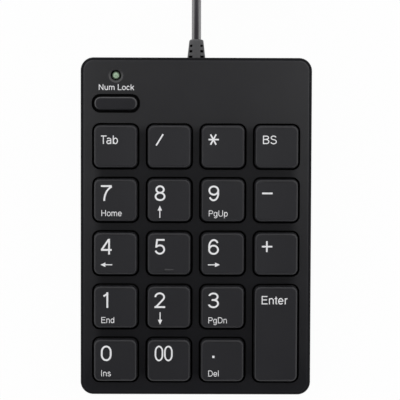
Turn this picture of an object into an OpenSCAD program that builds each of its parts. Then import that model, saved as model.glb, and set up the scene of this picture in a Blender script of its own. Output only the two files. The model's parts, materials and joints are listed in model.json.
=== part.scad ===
// Corded numeric keypad: twenty sprung keys on a sloping deck, a status light and a coiled cord.
// The origin is on the desk under the middle of the case: +X to the right, +Y to the back,
// where the cord leaves, and +Z up. Most pieces are drawn square to the deck, with Z = 0 on its
// surface, and on_deck() then tips them back by the slope.

/* [Case] */
// Width of the case
case_w = 82.3; // [76:0.1:92]
// Depth of the case along the deck
case_d = 120.45; // [112:0.05:132]
// Deck beside the outer columns of key openings
side_margin = 4.15; // [3.6:0.05:6]
// Deck in front of the front row of key openings
front_margin = 4.4; // [3.6:0.1:6]
// Deck behind the back row of key openings, for the num lock key and the light
back_deck = 23.3; // [23.2:0.05:26]
// Slope of the deck in degrees, rising to the back
slope = 4; // [2:0.5:7]
// Corner radius of the case seen from above
case_corner_r = 4.6; // [3:0.1:6]
// Rounding of the deck's outer edge
deck_edge_r = 1.4; // [0.6:0.1:1.8]
// Thickness of the deck
deck_t = 1.8; // [1.4:0.1:2.2]
// Thickness of the case's side walls
case_wall = 1.8; // [1.4:0.1:2]
// Thickness of the case's floor
floor_t = 1.8; // [1.6:0.1:2.4]
// Height of the lip that locates the bottom cover inside the top cover
lip_h = 1.5; // [1:0.1:2]
// Thickness of that lip
lip_t = 0.9; // [0.7:0.1:1.1]
// Height of the shadow line round the case, where the two covers meet
reveal_h = 0.4; // [0.2:0.05:0.6]
// Depth of that shadow line
reveal_d = 0.4; // [0.2:0.05:0.6]
// Thickness of the ribs in both covers
rib_t = 1.2; // [1:0.1:1.6]

/* [Keys] */
// Deck between two columns of key openings
column_web = 2.2; // [1.8:0.1:3]
// Deck between two rows of key openings
row_web = 2.5; // [1.8:0.1:3]
// Corner radius of a key at its skirt
key_corner_r = 2.2; // [1.8:0.1:2.6]
// How far a key's sides lean in towards its top
key_draft = 0.35; // [0.1:0.05:0.5]
// Rounding of a key's top edge
key_edge_r = 0.7; // [0.6:0.1:1.2]
// Depth of the hollow in a key's top
key_dish = 0.2; // [0.1:0.05:0.4]
// Gap between a key and the deck all round it
key_gap = 0.55; // [0.35:0.05:0.6]
// Height of a key's top over the deck
key_rise = 2.4; // [2.2:0.1:3.2]
// Depth of a key's skirt below the deck's surface
key_skirt = 1.4; // [1:0.1:1.8]
// Travel of a key
key_travel = 2.2; // [1.6:0.1:2.4]
// Thickness of a key's skirt
key_wall = 1.2; // [0.9:0.05:1.4]
// Thickness of a key's top
key_top_t = 1.3; // [1:0.1:1.5]
// Length of the raised bar that marks the middle key
homing_w = 3.2; // [2.4:0.1:4]
// Height of that bar
homing_h = 0.3; // [0.2:0.05:0.4]

/* [Num lock key and light] */
// Width of the num lock key
lock_w = 15.7; // [14:0.1:16.4]
// Depth of the num lock key
lock_d = 5.2; // [5:0.1:5.8]
// Corner radius of the num lock key
lock_corner_r = 2.3; // [1.8:0.1:2.4]
// Height of the num lock key over the deck
lock_rise = 1.5; // [1.4:0.1:2]
// Travel of the num lock key
lock_travel = 1; // [0.6:0.1:1]
// Gap between the num lock key and the deck all round it
lock_gap = 0.75; // [0.4:0.05:0.8]
// How far the num lock key's flange reaches under the deck, to hold the key in
lock_flange = 0.35; // [0.2:0.05:0.6]
// Thickness of that flange
lock_flange_t = 0.8; // [0.6:0.1:0.8]
// Distance from the back row of keys to the num lock key
lock_offset = 15.25; // [15:0.05:16.5]
// Distance from the num lock key to the light
light_offset = 9.95; // [9:0.05:10.2]
// Diameter of the light's lens
light_d = 2.9; // [2:0.1:3]
// Diameter of the light's hole in the deck
light_hole_d = 3.8; // [3.4:0.1:4]
// Diameter of the dimple round that hole
light_dimple_d = 5.3; // [4.4:0.1:6]
// Depth of the dimple
light_dimple_h = 0.5; // [0.3:0.1:1]

/* [Key guides] */
// Diameter of a key's plunger
stem_d = 5; // [4:0.1:5.4]
// Clearance round a plunger in its sleeve
stem_clearance = 0.06; // [0.03:0.01:0.1]
// Wall of a plunger's sleeve
sleeve_wall = 1.4; // [1.2:0.05:1.6]
// Reach of the barbs that hold a plunger in its sleeve
barb_reach = 0.6; // [0.3:0.05:0.8]
// Width of a barb
barb_w = 1.6; // [1:0.1:2]
// Height of a barb
barb_h = 0.9; // [0.6:0.1:1]
// Thickness of the guide plate
guide_t = 1.2; // [1:0.1:1.6]
// Diameter of the num lock key's plunger
lock_stem_d = 2.6; // [2:0.1:2.8]
// Diameter of the enter key's stabilizer wire
wire_d = 1.2; // [0.9:0.05:1.3]
// Length of the stabilizer's arms
wire_arm = 7; // [6.6:0.1:7.4]
// Space between the ends of the stabilizer wire and the enter key's skirt
wire_room = 1.35; // [0.6:0.05:2]

/* [Dome sheet, films and backing plate] */
// Height of a rubber dome over the films
dome_h = 2.9; // [2.7:0.05:3.4]
// Diameter of a dome at its foot
dome_foot_d = 9.6; // [8.5:0.1:10.5]
// Diameter of a dome at its top
dome_top_d = 4.4; // [3.8:0.1:5]
// Diameter of the num lock key's dome at its foot
small_dome_foot_d = 5.6; // [5:0.1:6]
// Diameter of the num lock key's dome at its top
small_dome_top_d = 2.8; // [2.4:0.1:3]
// Thickness of a dome's wall
dome_wall = 0.5; // [0.4:0.05:0.7]
// Thickness of the sheet between the domes
dome_sheet_t = 0.4; // [0.3:0.05:0.5]
// Thickness of each of the three contact films
film_t = 0.15; // [0.1:0.01:0.25]
// Diameter of the contact holes in the middle film
contact_d = 4.4; // [3:0.1:5]
// Width of the films' tail
tail_w = 14.5; // [10:0.5:15]
// Thickness of the steel backing plate
backing_t = 0.6; // [0.5:0.05:1]

/* [Controller board] */
// Width of the controller board
board_w = 64.4; // [62:0.2:65]
// Depth of the controller board
board_d = 8; // [7.6:0.1:8.2]
// Thickness of the controller board
board_t = 1.2; // [1:0.1:1.4]
// Thickness of the bar that clamps the films' tail to the board
clamp_t = 1.6; // [1:0.1:1.8]
// Width of that bar
clamp_d = 3.6; // [3:0.1:4]

/* [Screws and feet] */
// Diameter of the screws' threads
screw_d = 2; // [1.8:0.1:2.2]
// Diameter of the screws' heads
screw_head_d = 3.6; // [3.4:0.1:3.8]
// Height of the screws' heads
screw_head_h = 1.3; // [1:0.1:1.5]
// Diameter of the bosses and posts that the screws go into
post_d = 4.6; // [4.4:0.1:5]
// Diameter of a rubber foot
foot_d = 9; // [7:0.5:11]
// Height of the feet below the floor
foot_h = 1; // [0.6:0.1:1.6]
// Depth of the feet's recesses in the floor
foot_recess = 0.8; // [0.5:0.1:1]

/* [Cord and plug] */
// Diameter of the cord
cord_d = 3.4; // [3:0.1:3.4]
// Diameter of the strain relief at the case
relief_d = 6.6; // [5.6:0.1:7]
// Diameter of the strain relief at its tip
relief_tip_d = 5.2; // [4.4:0.1:5.8]
// Length of the strain relief outside the case
relief_len = 7; // [5.6:0.1:8]
// Windows on each side of the strain relief
relief_slots = 3; // [2:1:4]
// Width of those windows
relief_slot_w = 0.9; // [0.6:0.05:1]
// Solid middle left between the windows
relief_core_w = 2.9; // [2.4:0.1:3.4]
// Rail left outside the windows
relief_rail = 0.45; // [0.3:0.05:0.5]
// Web left between the windows of the upper and the lower side
relief_web = 0.6; // [0.6:0.1:1.4]
// Height of the strain relief's neck in the back wall
neck_h = 5.2; // [4.8:0.1:5.6]
// Width of that neck
neck_w = 5.6; // [5:0.1:6]
// Turns of the coiled cord, in two layers
coil_turns = 7; // [5:2:9]
// Diameter of the coil at the middle of its turns
coil_mid_d = 41; // [38:0.5:44]
// Distance from one turn of the coil to the next, and from layer to layer
coil_step = 3.9; // [3.9:0.05:4.4]
// Distance from the case to the middle of the coil
coil_distance = 53.85; // [50:0.05:60]
// Distance from the middle of the coil to the plug
plug_distance = 16; // [14:0.5:20]
// Width of the strap round the coil
tie_w = 6; // [4:0.5:10]
// Thickness of the strap
tie_t = 0.7; // [0.5:0.1:0.8]
// Width of the plug's grip
grip_w = 15.6; // [14:0.2:17]
// Thickness of the plug's grip
grip_h = 8; // [7.6:0.1:8]
// Length of the plug's grip
grip_len = 22; // [18:0.5:26]
// Width of the plug's metal shell
shell_w = 12; // [12:0.05:12.1]
// Height of the plug's metal shell
shell_h = 4.5; // [4.5:0.05:4.6]
// Length of the plug's metal shell
shell_len = 12; // [11.75:0.05:12.5]
// Thickness of the shell's sheet metal
shell_t = 0.3; // [0.25:0.05:0.35]

/* [Hidden] */
$fn = 48;
overlap = 0.5;
sliver = 0.01;
seat_gap = 0.1;
slide_gap = 0.2;
screw_gap = 0.05;
press_gap = 0.3;
sheet_gap = 0.7;
sheet_edge = 0.85;
board_edge = 0.8;
floor_gap = 0.4;
sleeve_bridge = 0.8;
lug_web = 0.8;
screw_seat_t = 1;
screw_bite = 0.5;
rear_screw_inset = 5.6;
well_wall = 1.5;
board_screw_len = 6;
light_lead_x = 1.27;
light_lead_d = 0.5;
relief_shoulder = 0.8;

// Keys: name, column from the left, row from the front, rows covered
KEYS = [
    ["key_tab", 0, 4, 1], ["key_divide", 1, 4, 1], ["key_multiply", 2, 4, 1], ["key_backspace", 3, 4, 1],
    ["key_7", 0, 3, 1], ["key_8", 1, 3, 1], ["key_9", 2, 3, 1], ["key_minus", 3, 3, 1],
    ["key_4", 0, 2, 1], ["key_5", 1, 2, 1], ["key_6", 2, 2, 1], ["key_plus", 3, 2, 1],
    ["key_1", 0, 1, 1], ["key_2", 1, 1, 1], ["key_3", 2, 1, 1], ["key_enter", 3, 0, 2],
    ["key_0", 0, 0, 1], ["key_00", 1, 0, 1], ["key_decimal", 2, 0, 1]
];
columns = 4;
rows = 5;

// Levels square to the deck, with the deck's surface at 0
lock_foot = -deck_t - seat_gap - lock_flange_t;
lock_stop = lock_foot - lock_travel - screw_gap;
guide_top = min(-key_skirt - key_travel - press_gap, lock_stop - slide_gap + screw_gap);
guide_bottom = guide_top - guide_t;
stem_end = guide_bottom - slide_gap;
dome_top = stem_end - seat_gap;
film_top = dome_top - dome_h;
dome_shoulder = film_top + 0.72 * dome_h;
film_bottom = film_top - 3 * film_t;
backing_bottom = film_bottom - backing_t;
parting = backing_bottom;
sleeve_top = key_rise - key_top_t - key_travel - slide_gap;
barb_top = sleeve_top - sleeve_bridge;
board_top = film_top + board_t;
screw_seat = parting - screw_seat_t;
screw_tip = -deck_t + screw_bite;
cord_level = parting - neck_h / 2;

// Places along the deck, with its middle at 0
column_step = (case_w - 2 * side_margin + column_web) / columns;
row_step = (case_d - front_margin - back_deck + row_web) / rows;
key_w = column_step - column_web - 2 * key_gap;
key_d = row_step - row_web - 2 * key_gap;
front_row_v = -case_d / 2 + front_margin + key_d / 2 + key_gap;
lock_v = front_row_v + (rows - 1) * row_step + lock_offset;
light_v = lock_v + light_offset;
back_wall_v = case_d / 2 - case_wall;
sheet_inset = case_wall + lip_t + sheet_gap;
sheet_w = case_w - 2 * sheet_inset;
sheet_corner_r = max(case_corner_r - sheet_inset, slide_gap);
sheet_front_v = sheet_inset - case_d / 2;
sheet_rear_v = lock_v + lock_d / 2 + sheet_edge;
board_front_v = sheet_rear_v + sheet_gap;
board_v = board_front_v + board_d / 2;
clamp_v = board_front_v + board_edge + clamp_d / 2;
part_gap = 0.7;
clamp_screw_x = case_w / 2 - rear_screw_inset - post_d - part_gap;
clamp_screw_span = tail_w + screw_head_d + 2 * part_gap;
clamp_w = clamp_screw_span + screw_head_d + 2 * screw_gap;
tail_x = clamp_screw_x - clamp_screw_span / 2;
connector_w = 9;
connector_d = 4;
connector_h = 4.3;
connector_v = board_front_v + board_edge + connector_d / 2;
flange_t = 1.8;
stub_len = 1;
stub_end_v = back_wall_v - flange_t - stub_len;
chip_size = [9.9, 3.9, 1.45];
crystal_w = 9;
capacitor_d = 4;
chip_x = tail_x - clamp_w / 2 - part_gap - chip_size[0] / 2;
crystal_x = chip_x - chip_size[0] / 2 - part_gap - crystal_w / 2;
capacitor_x = crystal_x - crystal_w / 2 - part_gap - capacitor_d / 2;
board_post_x = capacitor_x - capacitor_d / 2 - part_gap - screw_head_d / 2;
board_posts = [
    [clamp_screw_x - clamp_screw_span, clamp_v], [clamp_screw_x, clamp_v], [board_post_x, board_v]
];

// The deck's middle is placed so that the case stands on its feet, centred over the origin
floor_top_front = backing_bottom - floor_gap;
deck_z = foot_h + floor_t + back_wall_v * sin(slope) - floor_top_front * cos(slope);
floor_rear = (foot_h - deck_z - case_d / 2 * sin(slope)) / cos(slope);
case_front_y = (deck_edge_r - case_d / 2) * cos(slope) + deck_edge_r * sin(slope) - deck_edge_r;
case_back_y = case_d / 2 * cos(slope) - floor_rear * sin(slope);
deck_y = -(case_front_y + case_back_y) / 2;

// The stabilizer wire turns in clips on the guide plate and lifts with the enter key
wire_axis_x = -5.2;
wire_axis_level = guide_top + wire_d / 2 + slide_gap;
wire_tip_level = guide_top + slide_gap + lug_web + seat_gap + wire_d / 2 + key_travel;
wire_rest_angle = asin((wire_tip_level - wire_axis_level) / wire_arm);
wire_end = wire_d / 2 + 2 * slide_gap + rib_t;
wire_span = key_d + row_step - 2 * (key_wall + wire_room + wire_end);
wire_lug_v = wire_span / 2 + wire_d / 2 + slide_gap + rib_t / 2;

// The cord's places: the coil lies behind the case on the desk, and the plug behind the coil
coil_lift = 0.9;
coil_y = case_d / 2 + coil_distance;
plug_y = coil_y + plug_distance;
coil_layer_turns = coil_turns / 2;
coil_inner_r = coil_mid_d / 2 - coil_step * coil_layer_turns / 2;
coil_outer_r = coil_inner_r + coil_step * coil_layer_turns;
coil_low_z = coil_lift + cord_d / 2;
coil_high_z = coil_low_z + coil_step;
coil_rings = 24;
grip_neck_len = 8;
shell_y = plug_y + grip_neck_len + grip_len;
plug_z = grip_h / 2;
tongue_h = 1.9;
tongue_z = plug_z + shell_h / 2 - shell_t - seat_gap - tongue_h;

function key_x(column) = (column - (columns - 1) / 2) * column_step;
function key_v(row) = front_row_v + row * row_step;
function key_place(key) = [key_x(key[1]), key_v(key[2] + (key[3] - 1) / 2)];
function key_depth(key) = key_d + (key[3] - 1) * row_step;
function line_v(row) = key_v(row - 0.5);
function deck_point(p) = [
    p[0],
    deck_y + p[1] * cos(slope) - p[2] * sin(slope),
    deck_z + p[1] * sin(slope) + p[2] * cos(slope)
];

lock_place = [key_x(0), lock_v];
enter_key = KEYS[15];
enter_place = key_place(enter_key);
field_screws = [
    [-column_step, line_v(4)], [column_step, line_v(4)], [-column_step, line_v(1)], [column_step, line_v(2)]
];
rear_screws = [for (side = [-1, 1]) [side * (case_w / 2 - rear_screw_inset), case_d / 2 - rear_screw_inset]];
case_screw_places = concat(field_screws, rear_screws);
stem_places = [for (key = KEYS) key_place(key)];
foot_inset = 10;
foot_rear_inset = 14;
foot_chamfer = 0.4;
foot_places = [
    for (side = [-1, 1], y = [foot_inset - case_d / 2, case_d / 2 - foot_rear_inset])
    [side * (case_w / 2 - foot_inset), y]
];

// Shapes that several pieces share

module on_deck() {
    translate([0, deck_y, deck_z]) rotate([slope, 0, 0]) children();
}

module at_each(places) {
    for (place = places) translate([place[0], place[1], 0]) children();
}

module rounded_rect(w, d, r) {
    square([w - 2 * r, d], center = true);
    square([w, d - 2 * r], center = true);
    for (x = [-1, 1], y = [-1, 1]) translate([x * (w / 2 - r), y * (d / 2 - r)]) circle(r);
}

// An upright drill from one level to another
module drill(d, from, to) {
    translate([0, 0, from]) cylinder(d = d, h = to - from);
}

// A block with rounded corners whose four sides all follow one edge profile. Child 0 is that
// profile for a corner, and child 1 the same profile reaching to the block's middle.
module profiled_block(w, d, r) {
    for (turn = [0 : 3]) {
        x = (turn == 0 || turn == 3 ? 1 : -1) * (w / 2 - r);
        y = (turn < 2 ? 1 : -1) * (d / 2 - r);
        translate([x, y, 0]) rotate(turn * 90) rotate_extrude(angle = 90) children(0);
    }
    rotate([90, 0, 90]) linear_extrude(w - 2 * r, center = true) {
        children(1);
        mirror([1, 0]) children(1);
    }
    for (side = [0, 1]) {
        mirror([side, 0, 0]) translate([w / 2 - r, 0, 0])
            rotate([90, 0, 0]) linear_extrude(d - 2 * r, center = true) children(0);
    }
}

// A tube of flat sides along a list of points, with its ends square to the given directions
module tube(points, d, sides, first_way, last_way) {
    last = len(points) - 1;
    rings = [
        for (i = [0 : last]) let (
            way = i == 0 ? first_way : i == last ? last_way : points[i + 1] - points[i - 1],
            across = cross(way, [0, 0, 1]) / norm(cross(way, [0, 0, 1])),
            up = cross(across, way) / norm(way)
        )
        for (k = [0 : sides - 1]) let (a = 360 * (k + 0.5) / sides)
        points[i] + d / 2 * (cos(a) * across + sin(a) * up)
    ];
    skin = [
        for (i = [0 : last - 1], k = [0 : sides - 1]) let (
            a = i * sides + k,
            b = i * sides + (k + 1) % sides
        )
        each [[a, b, a + sides], [b, b + sides, a + sides]]
    ];
    first_cap = [for (k = [1 : sides - 2]) [0, k + 1, k]];
    last_cap = [for (k = [1 : sides - 2]) [last * sides, last * sides + k, last * sides + k + 1]];
    polyhedron(points = rings, faces = concat(skin, first_cap, last_cap));
}

// Keys

// Section of a key from an upright line inside it to its leaning, round-edged side
module key_profile(reach, rise, skirt) {
    top_reach = reach - key_draft - key_edge_r;
    edge = [
        for (a = [0 : 15 : 90])
        [top_reach + key_edge_r * cos(a), rise - key_edge_r + key_edge_r * sin(a)]
    ];
    polygon(concat([[0, -skirt], [reach, -skirt]], edge, [[0, rise]]));
}

module key_shell(w, d, r, rise, skirt) {
    difference() {
        profiled_block(w, d, r) {
            key_profile(r, rise, skirt);
            key_profile(d / 2, rise, skirt);
        }
        translate([0, 0, -skirt - overlap])
            linear_extrude(rise + skirt - key_top_t + overlap)
            rounded_rect(w - 2 * key_wall, d - 2 * key_wall, r - key_wall);
    }
}

// The shallow trough along a key's top
module key_dish_cut(w, d, rise) {
    reach = w / 2 - key_draft - key_edge_r - press_gap;
    dish_r = (reach * reach + key_dish * key_dish) / (2 * key_dish);
    translate([0, 0, rise - key_dish + dish_r])
        rotate([90, 0, 0]) cylinder(r = dish_r, h = d + 2 * overlap, center = true, $fn = 360);
}

// A plunger with two barbs that run in its sleeve's slots and stop the key from coming out
module key_stem() {
    reach = stem_d / 2 + barb_reach;
    core = stem_d / 2 - slide_gap;
    drill(stem_d, stem_end, key_rise - key_top_t + overlap);
    for (side = [0, 1]) {
        mirror([side, 0, 0]) translate([0, barb_w / 2, barb_top - screw_gap]) rotate([90, 0, 0])
            linear_extrude(barb_w)
            polygon([[0, 0], [reach, 0], [reach, -barb_h / 3], [core, -barb_h], [0, -barb_h]]);
    }
}

// A lug under the enter key, with a slot that the end of the stabilizer wire slides in
module wire_lug() {
    slot_left = wire_axis_x + wire_arm * cos(wire_rest_angle) - wire_d / 2 - seat_gap;
    slot_right = wire_axis_x + wire_arm + wire_d / 2 + seat_gap;
    slot_bottom = wire_tip_level - wire_d / 2 - seat_gap;
    lug_bottom = slot_bottom - lug_web;
    difference() {
        translate([slot_left - lug_web, -rib_t / 2, lug_bottom])
            cube([slot_right - slot_left + 2 * lug_web, rib_t, key_rise - key_top_t + overlap - lug_bottom]);
        translate([slot_left, -rib_t, slot_bottom])
            cube([slot_right - slot_left, 2 * rib_t, wire_d + 2 * seat_gap]);
    }
}

// The raised bar near the front edge of the middle key, which fingers find by touch
module homing_bar() {
    bar_d = 0.6;
    bar_v = 0.73 * key_d / 2;
    translate([0, -bar_v, key_rise - key_dish - overlap]) {
        linear_extrude(overlap + homing_h) rounded_rect(homing_w, bar_d, bar_d / 2 - sliver);
    }
}

module key(key) {
    place = key_place(key);
    depth = key_depth(key);
    color("#2c2c2e") on_deck() translate([place[0], place[1], 0]) {
        difference() {
            key_shell(key_w, depth, key_corner_r, key_rise, key_skirt);
            key_dish_cut(key_w, depth, key_rise);
        }
        key_stem();
        if (key[0] == "key_5") {
            homing_bar();
        }
        if (key[3] > 1) {
            for (side = [-1, 1]) translate([0, side * wire_lug_v, 0]) wire_lug();
        }
    }
}

module key_num_lock() {
    flange_reach = lock_gap + lock_flange;
    flange_w = lock_w + 2 * flange_reach;
    flange_d = lock_d + 2 * flange_reach;
    color("#29292b") on_deck() translate([lock_place[0], lock_place[1], 0]) {
        profiled_block(lock_w, lock_d, lock_corner_r) {
            key_profile(lock_corner_r, lock_rise, -lock_foot);
            key_profile(lock_d / 2, lock_rise, -lock_foot);
        }
        translate([0, 0, lock_foot]) linear_extrude(lock_flange_t)
            rounded_rect(flange_w, flange_d, lock_corner_r + flange_reach);
        drill(lock_stem_d, stem_end, lock_foot + overlap);
    }
}

// Case

module deck_profile(reach) {
    translate([0, parting]) square([reach, -parting - deck_edge_r]);
    translate([0, parting]) square([reach - deck_edge_r, -parting]);
    translate([reach - deck_edge_r, -deck_edge_r]) circle(deck_edge_r);
}

module case_outline(inset) {
    rounded_rect(case_w - 2 * inset, case_d - 2 * inset, case_corner_r - inset);
}

module key_openings() {
    translate([0, 0, -deck_t - overlap]) linear_extrude(deck_t + 2 * overlap) {
        for (key = KEYS) {
            place = key_place(key);
            translate([place[0], place[1]])
                rounded_rect(key_w + 2 * key_gap, key_depth(key) + 2 * key_gap, key_corner_r + key_gap);
        }
        translate([lock_place[0], lock_place[1]])
            rounded_rect(lock_w + 2 * lock_gap, lock_d + 2 * lock_gap, lock_corner_r + lock_gap);
    }
}

module light_hole() {
    translate([key_x(0), light_v, 0]) {
        drill(light_hole_d, -deck_t - overlap, overlap);
        translate([0, 0, -light_dimple_h])
            cylinder(d1 = light_hole_d, d2 = light_dimple_d, h = light_dimple_h);
        drill(light_dimple_d, -sliver, overlap);
    }
}

module top_cover() {
    color("#2e2e30") on_deck() difference() {
        union() {
            difference() {
                profiled_block(case_w, case_d, case_corner_r) {
                    deck_profile(case_corner_r);
                    deck_profile(case_d / 2);
                }
                translate([0, 0, parting - overlap])
                    linear_extrude(-deck_t - parting + overlap) case_outline(case_wall);
                key_openings();
                light_hole();
            }
            at_each(field_screws) drill(post_d, guide_top, -deck_t + overlap);
            at_each(rear_screws) drill(post_d, guide_bottom, -deck_t + overlap);
        }
        at_each(case_screw_places)
            drill(screw_d + 2 * screw_gap, guide_bottom - overlap, screw_tip + seat_gap);
    }
}

// The floor's own plane, which lies flat over the desk
module above_height(z) {
    translate([-case_w, -case_d, z]) cube([2 * case_w, 2 * case_d, case_d]);
}

module bottom_posts() {
    deep = floor_rear - overlap;
    at_each(case_screw_places) {
        drill(post_d, screw_seat, guide_bottom);
        drill(screw_head_d + 2 * well_wall, deep, backing_bottom);
    }
    at_each(board_posts) drill(post_d, deep, film_top);
}

// Ribs from the floor up to the backing plate, and one under the films' tail
module bottom_ribs() {
    deep = floor_rear - overlap;
    rear_line = line_v(5);
    for (x = [-column_step, 0, column_step]) {
        translate([x - rib_t / 2, -back_wall_v - overlap, deep])
            cube([rib_t, back_wall_v + overlap + rear_line, backing_bottom - deep]);
    }
    for (row = [1, 2, 4, 5]) {
        translate([-case_w / 2 + case_wall / 2, line_v(row) - rib_t / 2, deep])
            cube([case_w - case_wall, rib_t, backing_bottom - deep]);
    }
    translate([tail_x - tail_w / 2, clamp_v - rib_t, deep])
        cube([tail_w, 2 * rib_t, film_bottom - deep]);
}

module bottom_lip() {
    translate([0, 0, parting - overlap]) linear_extrude(lip_h + overlap) difference() {
        case_outline(case_wall + seat_gap);
        case_outline(case_wall + seat_gap + lip_t);
        translate([-neck_w, 0]) square([2 * neck_w, case_d]);
    }
}

// The wells and holes that are sunk into the bottom cover square to the deck
module bottom_holes() {
    deep = floor_rear - 2 * overlap;
    at_each(case_screw_places) {
        drill(screw_d + 2 * screw_gap, deep, guide_bottom + overlap);
        drill(screw_head_d + 2 * slide_gap, deep, screw_seat);
    }
    at_each(board_posts) drill(screw_d + 2 * screw_gap, film_top - board_screw_len, film_top + overlap);
    translate([-neck_w / 2, back_wall_v - overlap, parting - neck_h])
        cube([neck_w, case_wall + 2 * overlap, neck_h + overlap]);
}

module bottom_cover() {
    color("#262628") difference() {
        intersection() {
            above_height(foot_h);
            on_deck() union() {
                translate([0, 0, floor_rear - overlap])
                    linear_extrude(parting - reveal_h - floor_rear + overlap) case_outline(0);
                translate([0, 0, floor_rear - overlap])
                    linear_extrude(parting - floor_rear + overlap) case_outline(reveal_d);
                bottom_lip();
                bottom_posts();
                bottom_ribs();
            }
        }
        difference() {
            above_height(foot_h + floor_t);
            on_deck() bottom_solids();
        }
        on_deck() bottom_holes();
        at_each(foot_places) drill(foot_d + seat_gap, foot_h - overlap, foot_h + foot_recess);
    }
}

// What stands above the floor in the bottom cover
module bottom_solids() {
    difference() {
        translate([0, 0, 2 * floor_rear]) linear_extrude(parting - 2 * floor_rear) case_outline(-overlap);
        translate([0, 0, 2 * floor_rear - overlap])
            linear_extrude(parting - 2 * floor_rear + 2 * overlap) case_outline(case_wall);
    }
    bottom_lip();
    bottom_posts();
    bottom_ribs();
}

module rubber_feet() {
    color("#1b1b1b") at_each(foot_places) {
        cylinder(d1 = foot_d - 2 * foot_chamfer, d2 = foot_d, h = foot_chamfer);
        drill(foot_d, foot_chamfer, foot_h + foot_recess);
    }
}

// Under the keys

// Outline of the sheets, with corners that follow the case's
module sheet_outline() {
    translate([0, (sheet_front_v + sheet_rear_v) / 2])
        rounded_rect(sheet_w, sheet_rear_v - sheet_front_v, sheet_corner_r);
}

module post_holes() {
    for (place = field_screws) translate(place) circle(d = post_d + 4 * slide_gap);
}

module sleeve_bore() {
    slot_reach = stem_d / 2 + barb_reach + slide_gap;
    drill(stem_d + 2 * stem_clearance, guide_bottom - overlap, sleeve_top + overlap);
    translate([-slot_reach, -barb_w / 2 - seat_gap, guide_bottom - overlap])
        cube([2 * slot_reach, barb_w + 2 * seat_gap, barb_top - guide_bottom + overlap]);
}

// Ribs that press the dome sheet on the films between the domes
module guide_ribs() {
    foot = film_top + dome_sheet_t;
    difference() {
        translate([0, 0, foot]) linear_extrude(guide_bottom - foot + overlap) {
            difference() {
                sheet_outline();
                translate([-sheet_w / 2 + rib_t, sheet_front_v + rib_t])
                    square([sheet_w - 2 * rib_t, sheet_rear_v - sheet_front_v - 2 * rib_t]);
            }
            for (x = [-column_step, 0, column_step]) translate([x - rib_t / 2, sheet_front_v])
                square([rib_t, line_v(5) - sheet_front_v]);
            for (row = [1 : 5]) translate([-sheet_w / 2, line_v(row) - rib_t / 2]) square([sheet_w, rib_t]);
        }
        at_each(stem_places) drill(dome_foot_d + 2 * dome_wall, foot - overlap, guide_bottom);
        at_each(field_screws) drill(post_d + 2 * slide_gap, foot - overlap, guide_bottom);
    }
}

// Clips that the stabilizer wire turns in
module wire_clips() {
    clip_wall = 0.7;
    half = wire_d / 2 + clip_wall;
    clip_len = 3;
    clip_v = wire_span / 3;
    for (side = [-1, 1]) {
        translate([wire_axis_x - half, side * clip_v - clip_len / 2, guide_top - overlap])
            cube([2 * half, clip_len, wire_axis_level + half - guide_top + overlap]);
    }
}

module wire_bore() {
    translate([wire_axis_x, 0, wire_axis_level])
        rotate([90, 0, 0]) cylinder(d = wire_d + 2 * stem_clearance, h = wire_span, center = true);
}

module guide_plate() {
    sleeve_d = stem_d + 2 * stem_clearance + 2 * sleeve_wall;
    color("#1e1e1f") on_deck() difference() {
        union() {
            translate([0, 0, guide_bottom]) linear_extrude(guide_t) sheet_outline();
            at_each(stem_places) drill(sleeve_d, guide_bottom, sleeve_top);
            at_each([lock_place]) drill(lock_stem_d + 2 * sleeve_wall, guide_bottom, lock_stop);
            guide_ribs();
            at_each([enter_place]) wire_clips();
        }
        at_each(stem_places) sleeve_bore();
        at_each([lock_place])
            drill(lock_stem_d + 2 * stem_clearance, guide_bottom - overlap, lock_stop + overlap);
        at_each(field_screws) drill(screw_d + 2 * slide_gap, guide_bottom - overlap, guide_top + overlap);
        at_each([enter_place]) wire_bore();
    }
}

module enter_stabilizer() {
    color("#b9bcc0") on_deck()
        translate([enter_place[0] + wire_axis_x, enter_place[1], wire_axis_level]) {
        rotate([90, 0, 0]) cylinder(d = wire_d, h = wire_span, center = true);
        for (side = [-1, 1]) translate([0, side * wire_span / 2, 0]) {
            sphere(d = wire_d);
            rotate([0, 90 - wire_rest_angle, 0]) {
                cylinder(d = wire_d, h = wire_arm);
                translate([0, 0, wire_arm]) {
                    sphere(d = wire_d);
                    rotate([-90 * side, 0, 0]) cylinder(d = wire_d, h = wire_end);
                }
            }
        }
    }
}

// A thin-walled rubber dome that stands on the films, and the hollow under it
module dome(foot_d, top_d) {
    shoulder_d = top_d + dome_wall;
    translate([0, 0, film_top]) cylinder(d1 = foot_d, d2 = shoulder_d, h = dome_shoulder - film_top);
    drill(top_d, dome_shoulder, dome_top);
}

module dome_hollow(foot_d, top_d) {
    inner_foot_d = foot_d - 2 * dome_wall;
    ceiling = dome_shoulder - dome_wall;
    translate([0, 0, film_top]) cylinder(d1 = inner_foot_d, d2 = top_d - dome_wall, h = ceiling - film_top);
    drill(inner_foot_d, film_top - overlap, film_top + sliver);
}

module dome_sheet() {
    color("#c9c4b4") on_deck() difference() {
        union() {
            translate([0, 0, film_top]) linear_extrude(dome_sheet_t) difference() {
                sheet_outline();
                post_holes();
            }
            at_each(stem_places) dome(dome_foot_d, dome_top_d);
            at_each([lock_place]) dome(small_dome_foot_d, small_dome_top_d);
        }
        at_each(stem_places) dome_hollow(dome_foot_d, dome_top_d);
        at_each([lock_place]) dome_hollow(small_dome_foot_d, small_dome_top_d);
    }
}

module film_outline() {
    difference() {
        sheet_outline();
        post_holes();
    }
    translate([tail_x - tail_w / 2, sheet_rear_v - overlap])
        square([tail_w, clamp_v + rib_t - sheet_rear_v + overlap]);
}

module upper_film() {
    color("#b7d3e0") on_deck() translate([0, 0, film_top - film_t]) linear_extrude(film_t) film_outline();
}

module spacer_film() {
    color("#d7dde0") on_deck() translate([0, 0, film_top - 2 * film_t]) linear_extrude(film_t) difference() {
        film_outline();
        for (place = concat(stem_places, [lock_place])) translate(place) circle(d = contact_d);
    }
}

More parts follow.
